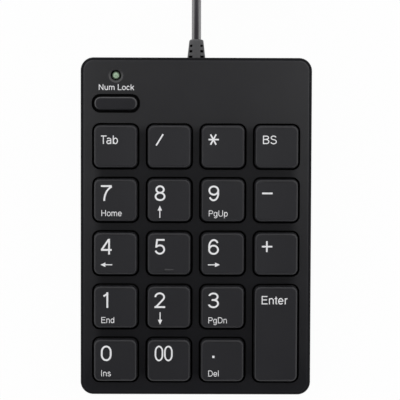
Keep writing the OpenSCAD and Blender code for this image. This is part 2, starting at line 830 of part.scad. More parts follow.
module lower_film() {
    color("#a9c9d8") on_deck() translate([0, 0, film_bottom]) linear_extrude(film_t) film_outline();
}

module backing_plate() {
    color("#9da1a5") on_deck() translate([0, 0, backing_bottom]) linear_extrude(backing_t) difference() {
        sheet_outline();
        post_holes();
    }
}

// Controller board and what is on it

module controller_board() {
    color("#2f6b45") on_deck() translate([0, 0, film_top]) linear_extrude(board_t) difference() {
        translate([-board_w / 2, board_front_v]) square([board_w, board_d]);
        for (place = board_posts) translate(place) circle(d = screw_d + 2 * slide_gap);
        for (place = rear_screws) translate(place) circle(d = post_d + 2 * slide_gap);
        for (side = [-1, 1]) translate([key_x(0) + side * light_lead_x, light_v])
            circle(d = light_lead_d + 2 * slide_gap);
    }
}

// A chip body with a row of bent leads along each long side
module controller_chip() {
    lift = 0.15;
    lead_pitch = 1.27;
    lead_w = 0.4;
    lead_t = 0.2;
    lead_h = 0.8;
    lead_foot = 0.7;
    color("#1f2022") on_deck() translate([chip_x, board_v, board_top]) {
        translate([-chip_size[0] / 2, -chip_size[1] / 2, lift]) cube(chip_size);
        for (side = [0, 1], i = [-3 : 3]) {
            mirror([0, side, 0]) translate([i * lead_pitch - lead_w / 2, chip_size[1] / 2, 0])
                rotate([90, 0, 90]) linear_extrude(lead_w) {
                translate([-lead_t, lead_h - lead_t]) square([3 * lead_t, lead_t]);
                translate([lead_t, 0]) square([lead_t, lead_h]);
                translate([lead_t, 0]) square([lead_foot, lead_t]);
            }
        }
    }
}

module quartz_crystal() {
    base_d = 4.4;
    base_t = 0.6;
    rim = 0.4;
    can_h = 3.1;
    color("#c3c6ca") on_deck() translate([crystal_x, board_v, board_top]) {
        linear_extrude(base_t) rounded_rect(crystal_w, base_d, base_d / 2 - seat_gap);
        linear_extrude(can_h)
            rounded_rect(crystal_w - 2 * rim, base_d - 2 * rim, base_d / 2 - rim - seat_gap);
    }
}

module filter_capacitor() {
    can_h = 4.1;
    groove = 0.25;
    groove_h = 0.4;
    groove_z = 0.7;
    color("#30343c") on_deck() translate([capacitor_x, board_v, board_top]) {
        cylinder(d = capacitor_d - 2 * groove, h = can_h);
        cylinder(d = capacitor_d, h = groove_z);
        drill(capacitor_d, groove_z + groove_h, can_h);
    }
}

// The lamp stands on its leads so that its lens fills the hole in the deck
module status_light() {
    lens_top = -0.35;
    lens_h = 5.3;
    flange_reach = 0.4;
    flange_level = lens_top - lens_h;
    lead_end = film_top - 1;
    color("#8fb592") on_deck() translate([key_x(0), light_v, 0]) {
        drill(light_d + 2 * flange_reach, flange_level, flange_level + 1);
        drill(light_d, flange_level, lens_top - light_d / 2);
        translate([0, 0, lens_top - light_d / 2]) sphere(d = light_d);
        for (side = [-1, 1]) translate([side * light_lead_x, 0, 0])
            drill(light_lead_d, lead_end, flange_level + seat_gap);
    }
}

module tail_clamp() {
    color("#a5a9ad") on_deck() translate([0, 0, board_top]) linear_extrude(clamp_t) difference() {
        translate([tail_x, clamp_v])
            rounded_rect(clamp_w, clamp_d, clamp_d / 4);
        for (i = [0, 1]) translate(board_posts[i]) circle(d = screw_d + 2 * slide_gap);
    }
}

// A pan-head screw with a cross recess, standing with its head's underside at 0
module screw(length) {
    recess = [2.2, 0.5, 0.7];
    head_taper = 0.4;
    difference() {
        translate([0, 0, -screw_head_h])
            cylinder(d1 = screw_head_d - 2 * head_taper, d2 = screw_head_d, h = screw_head_h);
        for (turn = [0, 90]) rotate(turn)
            translate([-recess[0] / 2, -recess[1] / 2, -screw_head_h - overlap])
            cube(recess + [0, 0, overlap]);
    }
    cylinder(d = screw_d, h = length);
}

module board_screws() {
    color("#8f9296") on_deck() for (i = [0 : 2]) {
        seat = i < 2 ? board_top + clamp_t : board_top;
        translate([board_posts[i][0], board_posts[i][1], seat]) mirror([0, 0, 1]) screw(board_screw_len);
    }
}

module case_screws() {
    color("#6f7276") on_deck() at_each(case_screw_places)
        translate([0, 0, screw_seat]) screw(screw_tip - screw_seat);
}

// Cord inside the case

module wire_connector() {
    wall = 0.8;
    mouth_d = 1.6;
    color("#e6e2d6") on_deck() translate([0, connector_v, film_top - connector_h / 2]) difference() {
        cube([connector_w, connector_d, connector_h], center = true);
        translate([0, -connector_d / 2, 0])
            cube([connector_w - 2 * wall, 2 * mouth_d, connector_h - 2 * wall], center = true);
    }
}

module signal_wires() {
    signal_wire_d = 0.7;
    from_pitch = 0.75;
    to_pitch = 2;
    straight = 0.5;
    to_v = connector_v + connector_d / 2;
    to_level = film_top - connector_h / 2;
    color("#b04038") on_deck() for (i = [-1.5 : 1.5]) {
        tube(
            [
                [i * from_pitch, stub_end_v, cord_level],
                [i * from_pitch, stub_end_v - straight, cord_level],
                [i * to_pitch, to_v + straight, to_level],
                [i * to_pitch, to_v, to_level]
            ],
            signal_wire_d, 6, [0, -1, 0], [0, -1, 0]
        );
    }
}

module cord_stub() {
    color("#3a3a3d") on_deck() translate([0, stub_end_v, cord_level])
        rotate([-90, 0, 0]) cylinder(d = cord_d, h = stub_len);
}

// Section of the strain relief outside the case, from its middle line to its tapered side
module relief_profile() {
    mouth_r = cord_d / 2 + slide_gap;
    shoulder_r = relief_tip_d / 2 - mouth_r;
    shoulder = [
        for (a = [0 : 15 : 90])
        [mouth_r + shoulder_r * cos(a), relief_len + relief_shoulder * (sin(a) - 1)]
    ];
    polygon(concat([[0, 0], [relief_d / 2, 0]], shoulder, [[0, relief_len]]));
}

// Windows that let the strain relief bend, sunk from above and below to a web in the middle
module relief_windows() {
    first_v = 0.25;
    pitch = (relief_len - relief_shoulder - first_v) / relief_slots;
    for (i = [0 : relief_slots - 1], side = [0, 1], face = [0, 1]) {
        v = first_v + i * pitch;
        taper = (v + relief_slot_w) / relief_len * (relief_d - relief_tip_d) / 2;
        reach = relief_d / 2 - taper - relief_rail;
        mirror([side, 0, 0]) mirror([0, 0, face])
            translate([relief_core_w / 2, v, relief_web / 2])
            cube([reach - relief_core_w / 2, relief_slot_w, relief_d]);
    }
}

// Strain relief: a flange inside the wall, a neck in the wall and a windowed taper outside
module strain_relief() {
    flange_reach = 1.2;
    color("#3c3c3f") on_deck() {
        translate([-neck_w / 2 - flange_reach, back_wall_v - flange_t, parting - neck_h - flange_reach])
            cube([neck_w + 2 * flange_reach, flange_t, neck_h + flange_reach]);
        translate([-neck_w / 2, back_wall_v - overlap, cord_level - neck_h / 2])
            cube([neck_w, case_wall + overlap, neck_h]);
        translate([0, case_d / 2, cord_level]) difference() {
            rotate([-90, 0, 0]) rotate_extrude() relief_profile();
            relief_windows();
        }
    }
}

// Cord outside the case

function coil_middle() = [coil_outer_r, coil_y];
function ease(t) = t <= 0 ? 0 : t >= 1 ? 1 : t * t * (3 - 2 * t);

// The coil winds in on the lower layer, climbs in the half turn where it reverses, and winds out
function coil_point(turn) = let (
    a = 180 - 360 * turn,
    r = coil_inner_r + coil_step * abs(turn - coil_layer_turns),
    climb = ease((turn - coil_layer_turns) * 2 + 0.5)
) [
    coil_middle()[0] + r * cos(a),
    coil_middle()[1] + r * sin(a),
    coil_low_z + coil_step * climb
];

coil_start = [0, coil_y - cord_d, coil_low_z];
coil_finish = [0, coil_y + cord_d, coil_high_z];
coil_path = concat(
    [coil_start],
    [for (i = [0 : coil_turns * coil_rings]) coil_point(i / coil_rings)],
    [coil_finish]
);

// The least space between one part of the coil and another, over a quarter turn apart
coil_gap = min([
    for (i = [0 : len(coil_path) - 1], j = [i + coil_rings / 4 : 1 : len(coil_path) - 1])
    norm(coil_path[i] - coil_path[j])
]) - cord_d;
echo(coil_gap = coil_gap);

// A stretch of cord that leaves one point at a given rise and settles level at another
function settle(from, to, rise, steps) = [
    for (i = [0 : steps]) let (
        t = i / steps,
        swell = t * (1 - t) * (1 - t) * (to[1] - from[1]) * rise
    )
    from + [0, t * (to[1] - from[1]), ease(t) * (to[2] - from[2]) + swell]
];

module cord_lead() {
    start = deck_point([0, case_d / 2 + relief_len, cord_level]);
    way = [0, cos(slope), sin(slope)];
    color("#3a3a3d") tube(settle(start, coil_start, tan(slope), 8), cord_d, 8, way, [0, 1, 0]);
}

module cord_coil() {
    color("#3a3a3d") tube(coil_path, cord_d, 6, [0, 1, 0], [0, 1, 0]);
}

module cord_tail() {
    finish = [0, plug_y, plug_z];
    color("#3a3a3d") tube(settle(coil_finish, finish, 0, 4), cord_d, 8, [0, 1, 0], [0, 1, 0]);
}

// A strap round the turns at the far side of the coil, with its end lapped over itself
module cord_tie() {
    room = 0.4;
    bend_r = 1.5;
    lap_inset = 3;
    inner = sqrt(pow(coil_inner_r + coil_step / 4, 2) - tie_w * tie_w / 4) - cord_d / 2 - room;
    outer = coil_outer_r - coil_step / 4 + cord_d / 2 + room;
    low = tie_t;
    high = coil_high_z + cord_d / 2 + room;
    color("#242424") translate([coil_middle()[0] - tie_w / 2, coil_y, 0]) rotate([90, 0, 90])
        linear_extrude(tie_w) {
        translate([(inner + outer) / 2, (low + high) / 2]) difference() {
            rounded_rect(outer - inner + 2 * tie_t, high - low + 2 * tie_t, bend_r + tie_t);
            rounded_rect(outer - inner, high - low, bend_r);
        }
        translate([inner + lap_inset, high + tie_t - sliver]) square([outer - inner - 2 * lap_inset, tie_t]);
    }
}

// Plug

module plug_grip() {
    rings = 3;
    ring_w = 1.1;
    ring_h = 0.4;
    ring_step = (grip_neck_len - 2 * ring_w) / (rings - 1);
    neck_d = cord_d + 1;
    neck_taper = 0.6;
    color("#303033") translate([0, plug_y, plug_z]) rotate([-90, 0, 0]) {
        translate([0, 0, grip_neck_len]) linear_extrude(grip_len) rounded_rect(grip_w, grip_h, grip_h / 4);
        cylinder(d1 = neck_d, d2 = neck_d + neck_taper, h = grip_neck_len + overlap);
        for (i = [0 : rings - 1]) translate([0, 0, i * ring_step]) {
            base_d = neck_d + neck_taper * i / rings;
            cylinder(d1 = base_d + ring_h, d2 = base_d + 2 * ring_h, h = ring_w);
        }
    }
}

module plug_shell() {
    bend_r = 2 * shell_t;
    window_x = 2.9;
    window_y = 4.6;
    window = [2.5, 2, 2 * shell_h];
    color("#c8cbd0") translate([0, shell_y, plug_z]) difference() {
        rotate([-90, 0, 0]) linear_extrude(shell_len) difference() {
            rounded_rect(shell_w, shell_h, bend_r);
            rounded_rect(shell_w - 2 * shell_t, shell_h - 2 * shell_t, bend_r - shell_t);
        }
        for (side = [-1, 1]) translate([side * window_x - window[0] / 2, window_y, -shell_h]) cube(window);
    }
}

module plug_tongue() {
    tongue_w = shell_w - 2 * (shell_t + seat_gap);
    tongue_inset = 0.6;
    color("#e8e8e6") translate([-tongue_w / 2, shell_y, tongue_z])
        cube([tongue_w, shell_len - tongue_inset, tongue_h]);
}

module plug_contacts() {
    contact_w = 1;
    contact_h = 0.15;
    contact_inset = 1.6;
    outer_x = 3.5;
    inner_x = 1;
    color("#d2b25c") for (x = [-outer_x, -inner_x, inner_x, outer_x]) {
        translate([x - contact_w / 2, shell_y, tongue_z - contact_h])
            cube([contact_w, shell_len - contact_inset, contact_h]);
    }
}

for (key = KEYS) key(key);
key_num_lock();
top_cover();
bottom_cover();
guide_plate();
enter_stabilizer();
dome_sheet();
upper_film();
spacer_film();
lower_film();
backing_plate();
controller_board();
controller_chip();
quartz_crystal();
filter_capacitor();
status_light();
tail_clamp();
board_screws();
case_screws();
rubber_feet();
wire_connector();
signal_wires();
cord_stub();
strain_relief();
cord_lead();
cord_coil();
cord_tail();
cord_tie();
plug_grip();
plug_shell();
plug_tongue();
plug_contacts();
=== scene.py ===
import json
import math

import bpy
from bpy.props import FloatProperty, FloatVectorProperty, IntProperty, PointerProperty
from mathutils import Matrix, Vector


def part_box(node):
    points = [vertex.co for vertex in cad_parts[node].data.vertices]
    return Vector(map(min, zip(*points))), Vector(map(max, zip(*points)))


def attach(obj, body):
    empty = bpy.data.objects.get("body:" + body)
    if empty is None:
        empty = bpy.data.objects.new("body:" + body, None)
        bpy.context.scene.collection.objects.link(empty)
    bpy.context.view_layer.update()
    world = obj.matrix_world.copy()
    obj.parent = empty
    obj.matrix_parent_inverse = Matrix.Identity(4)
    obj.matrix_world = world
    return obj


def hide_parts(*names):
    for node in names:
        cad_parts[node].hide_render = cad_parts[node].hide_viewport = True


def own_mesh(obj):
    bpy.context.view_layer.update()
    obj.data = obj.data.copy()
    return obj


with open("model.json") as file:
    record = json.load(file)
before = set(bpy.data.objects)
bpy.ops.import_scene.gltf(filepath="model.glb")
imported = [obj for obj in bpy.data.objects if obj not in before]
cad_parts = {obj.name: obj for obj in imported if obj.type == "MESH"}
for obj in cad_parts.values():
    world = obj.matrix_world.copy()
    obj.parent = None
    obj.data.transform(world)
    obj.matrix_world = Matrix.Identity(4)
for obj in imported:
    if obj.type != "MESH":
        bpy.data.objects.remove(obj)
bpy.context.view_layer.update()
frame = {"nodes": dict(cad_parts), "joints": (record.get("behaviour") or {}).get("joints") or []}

bl_info = {
    "name": "Numeric Keypad",
    "version": (1, 0, 0),
    "blender": (4, 5, 0),
    "location": "View3D > Sidebar > Keypad",
    "description": "Dresses a corded numeric keypad with keys, print, a lamp, a cord, finishes and a stage",
    "category": "Object",
}

MM = 0.001

# Points are taken as level with each other below the first distance, and are merged below the second
NEAR = 1e-6
MERGE = 1e-7

# The deck leans back, and every key slides square to it
PRESS = Vector(next(joint["axis"] for joint in frame["joints"] if joint["type"] == "slide"))
SLOPE = math.atan2(PRESS.y, -PRESS.z)
TILT = Matrix.Rotation(SLOPE, 4, "X")

LENS_RADIUS = 1.45 * MM


def mm(*lengths):
    """Lengths in millimetres, as metres."""
    return [length * MM for length in lengths]


def deck_box(node):
    """Lowest and highest corners of a CAD node, measured square to the deck."""
    level = TILT.inverted()
    points = [level @ vertex.co for vertex in frame["nodes"][node].data.vertices]
    low = Vector(min(point[i] for point in points) for i in range(3))
    high = Vector(max(point[i] for point in points) for i in range(3))
    return low, high


def middle_of(node):
    low, high = deck_box(node)
    return (low + high) / 2


def linear(red, green, blue):
    """A colour given in 0-255 display levels, as the linear values that shaders use."""
    levels = [level / 255 for level in (red, green, blue)]
    return tuple(v / 12.92 if v <= 0.04045 else ((v + 0.055) / 1.055) ** 2.4 for v in levels)


def shade(colour, factor):
    """The same colour, lighter or darker, as a shader socket takes it."""
    return tuple(min(1.0, channel * factor) for channel in colour[:3]) + (1.0,)


# Sizes and colours


def size(name, description, value):
    """A length property whose default is given in millimetres."""
    return FloatProperty(
        name=name, description=description, default=value * MM, min=0.0, precision=5, unit="LENGTH"
    )


def colour(name, description, red, green, blue):
    """A colour property whose default is given in display levels."""
    tone = linear(red, green, blue)
    return FloatVectorProperty(
        name=name, description=description, subtype="COLOR", size=3, min=0.0, max=1.0, default=tone
    )


class KeypadKeySizes(bpy.types.PropertyGroup):
    """Sizes of the keys."""

    height: size("Height", "Height of a key from the foot of its skirt to its top", 3.8)
    corner: size("Corner radius", "Corner radius of a key at its skirt", 2.2)
    draft: size("Draft", "How far a key's sides lean in towards its top", 0.35)
    edge: size("Edge rounding", "Rounding of a key's top edge", 0.7)
    dish: size("Dish", "Depth of the trough along a key's top", 0.2)
    wall: size("Skirt", "Thickness of a key's skirt", 1.2)
    ceiling: size("Top", "Thickness of a key's top", 1.3)
    stem: size("Plunger", "Diameter of a key's plunger", 5.0)
    barb_reach: size("Barb reach", "Reach of the barbs that keep a key in its sleeve", 0.6)
    barb_width: size("Barb width", "Width of a barb", 1.6)
    barb_height: size("Barb height", "Height of a barb", 0.9)
    barb_depth: size("Barb depth", "Distance from a key's top to its barbs", 4.55)
    bar: FloatVectorProperty(
        name="Homing bar",
        description="Length, width and height of the bar that marks the middle key",
        default=mm(3.2, 0.6, 0.3),
        precision=5,
        unit="LENGTH",
    )
    lock_corner: size("Num lock corner", "Corner radius of the num lock key", 2.3)
    lock_flange: size("Num lock flange", "Width of the flange under the num lock key", 1.1)
    lock_flange_height: size("Num lock flange height", "Thickness of that flange", 0.8)
    lock_stem: size("Num lock plunger", "Diameter of the num lock key's plunger", 2.6)
    lock_height: size("Num lock height", "Height of the num lock key with its flange", 4.2)


class KeypadDomeSizes(bpy.types.PropertyGroup):
    """Sizes of the rubber domes under the keys."""

    foot: size("Foot", "Diameter of a dome at its foot", 9.6)
    top: size("Top", "Diameter of a dome at its top", 4.4)
    small_foot: size("Small foot", "Diameter of the num lock key's dome at its foot", 5.6)
    small_top: size("Small top", "Diameter of the num lock key's dome at its top", 2.8)
    wall: size("Wall", "Thickness of a dome's wall", 0.5)
    sheet: size("Sheet", "Thickness of the sheet between the domes", 0.4)


class KeypadPrint(bpy.types.PropertyGroup):
    """Sizes of the print on the keys and the deck."""

    ink: size("Ink", "Thickness of the printed ink", 0.03)
    digit_left: size("Digit left", "Distance from a key's middle to the left edge of its digit", 5.13)
    digit_width: size("Digit width", "Width of the large digits", 3.8)
    digit: size("Digit height", "Height of the large digits", 5.55)
    pen: size("Digit stroke", "Breadth of the large digits' strokes", 0.64)
    sign_pen: size("Sign stroke", "Breadth of the strokes of the divide and multiply signs", 0.55)
    arrow_pen: size("Arrow stroke", "Breadth of the arrows' shafts", 0.36)
    name: size("Name height", "Height of the capital letters of key names", 2.98)
    name_pen: size("Name stroke", "Breadth of the key names' strokes", 0.355)
    word_left: size("Word left", "Distance from a key's middle to the left edge of its word", 4.97)
    word: size("Word height", "Height of the capital letters of the small words", 2.15)
    word_pen: size("Word stroke", "Breadth of the small words' strokes", 0.24)
    label: size("Label height", "Height of the capital letters on the deck", 2.02)
    label_pen: size("Label stroke", "Breadth of the strokes on the deck", 0.275)


class KeypadCord(bpy.types.PropertyGroup):
    """Sizes of the cord and its coil."""

    diameter: size("Diameter", "Diameter of the cord", 3.4)
    turns: IntProperty(name="Turns", description="Turns of the coil, in two layers", default=7, min=3, max=15)
    step: size("Step", "Distance from one turn of the coil to the next", 3.9)
    middle: size("Coil diameter", "Diameter of the coil at the middle of its turns", 41.0)
    lift: size("Lift", "Height of the coil's lowest turns over the desk", 0.9)
    length: size("Length", "Length of the cord from the strain relief to the plug", 970.0)


class KeypadColours(bpy.types.PropertyGroup):
    """Colours of the keypad's plastics, metals and print."""

    case: colour("Case", "Moulded plastic of the two covers", 13, 13, 18)
    keys: colour("Keys", "Moulded plastic of the keys", 27, 27, 31)
    print: colour("Print", "Ink of the legends", 236, 236, 238)
    lamp: colour("Lamp", "Lens of the status light", 150, 176, 148)
    cord: colour("Cord", "Jacket of the cord", 44, 42, 47)
    sleeve: colour("Strain relief", "Rubber of the strain relief", 78, 78, 80)
    grip: colour("Plug grip", "Satin plastic of the plug's grip", 36, 36, 38)
    strap: colour("Strap", "Woven tape round the coil", 39, 39, 40)
    rubber: colour("Feet", "Rubber of the feet", 24, 24, 25)
    guide: colour("Guide plate", "Black plastic of the guide plate", 6, 6, 6)
    domes: colour("Domes", "Rubber of the dome sheet", 198, 193, 178)
    film: colour("Films", "Clear film with printed tracks", 194, 207, 213)
    board: colour("Board", "Lacquer of the controller board", 38, 96, 62)
    chip: colour("Chips", "Moulded plastic of the board's parts", 39, 39, 40)
    connector: colour("Connector", "Natural plastic of the wire connector", 223, 218, 203)
    tongue: colour("Tongue", "Plastic tongue in the plug", 228, 228, 226)
    steel: colour("Steel", "Plain steel of the plate, wire and screws", 176, 178, 181)
    plating: colour("Plating", "Nickel plating of the plug's shell", 206, 208, 209)
    gold: colour("Contacts", "Plating of the plug's contacts", 214, 178, 96)


class KeypadSettings(bpy.types.PropertyGroup):
    """All that a user would change on the keypad."""

    keys: PointerProperty(type=KeypadKeySizes, name="Keys", description="Sizes of the keys")
    domes: PointerProperty(type=KeypadDomeSizes, name="Domes", description="Sizes of the domes")
    print: PointerProperty(type=KeypadPrint, name="Print", description="Sizes of the print")
    cord: PointerProperty(type=KeypadCord, name="Cord", description="Sizes of the cord")
    colours: PointerProperty(type=KeypadColours, name="Colours", description="Colours of the finishes")


def settings():
    return bpy.context.scene.keypad


# Shader maths


def arithmetic(operation, flipped=False):
    """A method that puts a value, with another one or a number, through a maths node."""

    def method(self, other):
        first, second = (other, self) if flipped else (self, other)
        return self.graph.maths(operation, first, second)

    return method


class Value:
    """A shader socket that takes part in Python arithmetic."""

    __add__ = arithmetic("ADD")
    __radd__ = arithmetic("ADD", True)
    __sub__ = arithmetic("SUBTRACT")
    __rsub__ = arithmetic("SUBTRACT", True)
    __mul__ = arithmetic("MULTIPLY")
    __rmul__ = arithmetic("MULTIPLY", True)
    __truediv__ = arithmetic("DIVIDE")
    __pow__ = arithmetic("POWER")
    __gt__ = arithmetic("GREATER_THAN")
    __lt__ = arithmetic("LESS_THAN")

    def __init__(self, graph, socket):
        self.graph = graph
        self.socket = socket


class Graph:
    """A node tree that is put together one node at a time."""

    def __init__(self, tree):
        self.nodes = tree.nodes
        self.links = tree.links

    def feed(self, socket, value):
        if isinstance(value, Value):
            self.links.new(value.socket, socket)
        else:
            socket.default_value = value

    def add(self, kind, options=None, sockets=None, output=0):
        """Adds a node with its settings and the values or links of its sockets, and gives one output."""
        node = self.nodes.new(kind)
        for name, value in (options or {}).items():
            setattr(node, name, value)
        for name, value in (sockets or {}).items():
            self.feed(node.inputs[name], value)
        return Value(self, node.outputs[output]) if node.outputs else None

    def maths(self, operation, *values):
        return self.add("ShaderNodeMath", {"operation": operation}, dict(enumerate(values)))

    def outputs(self, value):
        """All outputs of the node that a value comes from, by name."""
        return {socket.name: Value(self, socket) for socket in value.socket.node.outputs}

    def axes(self, vector):
        """The three coordinates of a vector as values."""
        return list(self.outputs(self.add("ShaderNodeSeparateXYZ", None, {"Vector": vector})).values())

    def ramp(self, factor, low, high, start=0.0):
        """A value that goes from its start to 1 while the factor goes from low to high."""
        sockets = {"Value": factor, "From Min": low, "From Max": high, "To Min": start}
        return self.add("ShaderNodeMapRange", None, sockets)

    def blend(self, factor, first, second):
        """A colour between two others."""
        return self.add("ShaderNodeMix", {"data_type": "RGBA"}, {0: factor, 6: first, 7: second}, 2)

    def tint(self, factor, base, dark, light):
        """A colour between a darker and a lighter shade of a base."""
        return self.blend(factor, shade(base, dark), shade(base, light))


class Finish(Graph):
    """A procedural material on Object coordinates."""

    def __init__(self, name):
        self.material = bpy.data.materials.new(name)
        self.material.use_nodes = True
        super().__init__(self.material.node_tree)
        self.shader = self.nodes["Principled BSDF"]
        self.place = self.add("ShaderNodeTexCoord", output="Object")

    def mapped(self, scale=(1.0, 1.0, 1.0), turn=(0.0, 0.0, 0.0), shift=(0.0, 0.0, 0.0)):
        """Object coordinates, scaled, turned and moved."""
        sockets = {"Vector": self.place, "Location": shift, "Rotation": turn, "Scale": scale}
        return self.add("ShaderNodeMapping", None, sockets)

    def deck_axes(self):
        """Coordinates across, up and square to the deck."""
        return self.axes(self.mapped(turn=(-SLOPE, 0.0, 0.0)))

    def facing(self):
        """The three coordinates of the way that a face looks."""
        return self.axes(self.add("ShaderNodeTexCoord", output="Normal"))

    def noise(self, grain, detail=2.0, vector=None):
        """Noise whose patches are about as wide as the grain, in metres."""
        sockets = {"Vector": vector or self.place, "Scale": 1.0 / grain, "Detail": detail}
        return self.add("ShaderNodeTexNoise", None, sockets)

    def cells(self, grain):
        """Distance to the nearest of scattered points, which lie about a grain apart."""
        sockets = {"Vector": self.place, "Scale": 1.0 / grain}
        return self.add("ShaderNodeTexVoronoi", None, sockets, "Distance")

    def moulding(self, grain=0.35 * MM):
        """The fine grain, the cloudy gloss and the mottled tone of moulded plastic."""
        fine = self.noise(grain, 3.0)
        cloud = self.noise(14 * MM)
        return fine, cloud, self.ramp(0.65 * cloud + 0.35 * self.noise(1.2 * MM), 0.32, 0.68)

    def bump(self, height, depth):
        return self.add("ShaderNodeBump", None, {"Strength": 1.0, "Distance": depth, "Height": height})

    def within(self, value, low, high, reach):
        """A value that rises to 1 over a reach inside one limit and falls again before the other."""
        return self.ramp(value, low, low + reach) * self.ramp(value, high, high - reach)

    def larger(self, first, second):
        return self.maths("MAXIMUM", first, second)

    def size_of(self, value):
        return self.maths("ABSOLUTE", value)

    def wave(self, value, length):
        return self.maths("SINE", value * (math.tau / length))

    def distance(self, across, up):
        return (across * across + up * up) ** 0.5

    def inset_from(self, x, y, low, high, corner):
        """Distance inwards from the outline of a rectangle with rounded corners."""
        middle, half = (low + high) / 2, (high - low) / 2
        past_x = self.size_of(x - middle.x) - (half.x - corner)
        past_y = self.size_of(y - middle.y) - (half.y - corner)
        round_part = self.distance(self.larger(past_x, 0.0), self.larger(past_y, 0.0))
        flat_part = self.larger(0.0, 0.0 - self.larger(past_x, past_y))
        return corner - round_part + flat_part

    def set(self, sockets):
        for name, value in sockets.items():
            self.feed(self.shader.inputs[name], value)
        return self.material


# Finishes


def moulded_plastic(name, base, rough, gloss, grain=0.35 * MM, depth=0.006 * MM):
    """Moulded plastic with a fine spark-eroded grain, faint mottling and uneven gloss."""
    finish = Finish(name)
    fine, cloud, mottle = finish.moulding(grain)
    return finish.set({
        "Base Color": finish.tint(mottle, base, 0.9, 1.1),
        "Roughness": rough + 0.1 * (fine - 0.5) + 0.06 * (cloud - 0.5),
        "Specular IOR Level": gloss,
        "Normal": finish.bump(fine, depth),
    })


def deck_plastic(name, base):
    """Moulded deck: polished at its margin, duller and with painted shade between the keys, painted shade on
    its rounded edge and a painted highlight just inside it.
    """
    finish = Finish(name)
    x, y, _ = finish.deck_axes()
    fine, cloud, mottle = finish.moulding()
    fade, corner, front_depth = mm(3.0, 4.6, 12.0)
    low, high = deck_box("key_0")[0], deck_box("key_backspace")[1]
    # The key field: painted shade darkens the colour between the keys, and the coat there is thinner.
    field = finish.within(x, low.x, high.x, fade) * finish.within(y, low.y, high.y, fade)
    inset = finish.inset_from(x, y, *deck_box("top_cover"), corner)
    # Painted shade: the rounded outer edge of the deck is darker and has no coat.
    rim = finish.ramp(inset, 1.1 * MM, 0.9 * MM)
    # Painted highlight: a paler line just inside the rounded outer edge of the deck.
    painted_edge_highlight = finish.within(inset, 0.9 * MM, 1.7 * MM, 0.4 * MM)
    lamp = middle_of("status_light")
    dimple = finish.ramp(finish.distance(x - lamp.x, y - lamp.y), 2.75 * MM, 2.6 * MM)
    dusty = finish.ramp(y - lamp.y, -0.2 * MM, 1.5 * MM)
    margin = finish.tint(mottle, base, 0.9, 1.1)
    # Painted shade: a darker tone between the keys, and a darker one still on the rounded outer edge.
    between = finish.tint(mottle, base, 0.74, 0.88)
    face = finish.blend(rim, finish.blend(field, margin, between), shade(base, 0.7))
    front = finish.ramp(y, low.y, low.y + front_depth)
    polish = 0.95 * (0.62 + 0.38 * front) * (1 - 0.55 * field) * (1 - rim) * (0.9 + 0.2 * cloud)
    return finish.set({
        "Base Color": finish.blend(painted_edge_highlight, face, shade(base, 1.5)),
        "Roughness": 0.6 + 0.1 * (fine - 0.5),
        "Specular IOR Level": 0.1,
        "Coat Weight": polish + dimple * (1 - 0.45 * dusty - polish),
        "Coat Roughness": 0.3,
        "Normal": finish.bump(fine, 0.006 * MM),
    })


def key_plastic(name, base, gloss, shine, key):
    """Moulded keys: fine grain, painted shade on the skirts, a shine on the round edge of some and on the
    homing bar, rubbed glossy by fingers.
    """
    finish = Finish(name)
    _, y, level = finish.deck_axes()
    fine, cloud, mottle = finish.moulding()
    deck = deck_box("top_cover")[1].z
    middle, _, _, top, _ = key_box(key)
    # Painted shade: the skirt, which sits down in the gap round the key, is made much darker and rougher.
    skirt = finish.ramp(level, deck + 0.9 * MM, deck - 0.2 * MM)
    back = finish.ramp(y - middle.y, -1.9 * MM, -1.1 * MM)
    edge = finish.ramp(level, top - 0.01 * MM, top - 0.1 * MM) * (1 - skirt) * back
    bar = finish.ramp(level, top + 0.005 * MM, top + 0.03 * MM)
    return finish.set({
        "Base Color": finish.blend(skirt, finish.tint(mottle, base, 0.94, 1.06), shade(base, 0.2)),
        "Roughness": 0.42 + 0.5 * skirt + 0.1 * (fine - 0.5) + 0.06 * (cloud - 0.5),
        "Specular IOR Level": gloss,
        "Coat Weight": shine * edge + bar,
        "Coat Roughness": 0.25,
        "Normal": finish.bump(fine, 0.004 * MM),
    })


def windowed_rubber(name, base):
    """Rubber of the strain relief, with painted shade making the inside of its windows darker."""
    finish = Finish(name)
    x, y, z = finish.deck_axes()
    radius, taper, length, shoulder, first_window = mm(3.3, 0.7, 7.0, 0.8, 1.1)
    tip = deck_box("strain_relief")[1].y
    skin = radius - taper * finish.ramp(y, tip - length, tip)
    share = finish.distance(x, z - middle_of("cord_stub").z) / skin
    # Painted shade: the inside of each window is made almost black and rougher.
    sunk = finish.ramp(share, 0.94, 0.84) * finish.ramp(y, tip - shoulder, tip - first_window)
    pores = finish.noise(0.4 * MM, 3.0)
    return finish.set({
        "Base Color": finish.blend(sunk, finish.tint(pores, base, 0.9, 1.1), shade(base, 0.06)),
        "Roughness": 0.5 + 0.1 * (pores - 0.5) + 0.4 * sunk,
        "Specular IOR Level": 0.35,
        "Sheen Weight": 0.25,
        "Sheen Roughness": 0.3,
        "Normal": finish.bump(pores, 0.008 * MM),
    })


def cord_vinyl(name, base):
    """Smooth vinyl whose shiny skin is rubbed dull along its upper side."""
    finish = Finish(name)
    _, _, up = finish.facing()
    streaks = finish.noise(0.6 * MM, 3.0)
    return finish.set({
        "Base Color": finish.tint(finish.noise(14 * MM), base, 0.9, 1.1),
        "Roughness": 0.5 + 0.1 * (streaks - 0.5),
        "Specular IOR Level": 0.2,
        "Coat Weight": finish.ramp(up, 0.99, 0.72),
        "Coat Roughness": 0.16,
        "Coat IOR": 2.3,
        "Normal": finish.bump(streaks, 0.003 * MM),
    })


def soft_rubber(name, base):
    """Moulded rubber: dull, with a fine pebbled skin and dusty patches."""
    finish = Finish(name)
    dust = finish.noise(5 * MM, 3.0)
    return finish.set({
        "Base Color": finish.tint(finish.ramp(dust, 0.45, 0.75), base, 0.9, 1.25),
        "Roughness": 0.85 + 0.12 * (dust - 0.5),
        "Specular IOR Level": 0.3,
        "Normal": finish.bump(finish.cells(0.45 * MM), 0.01 * MM),
    })


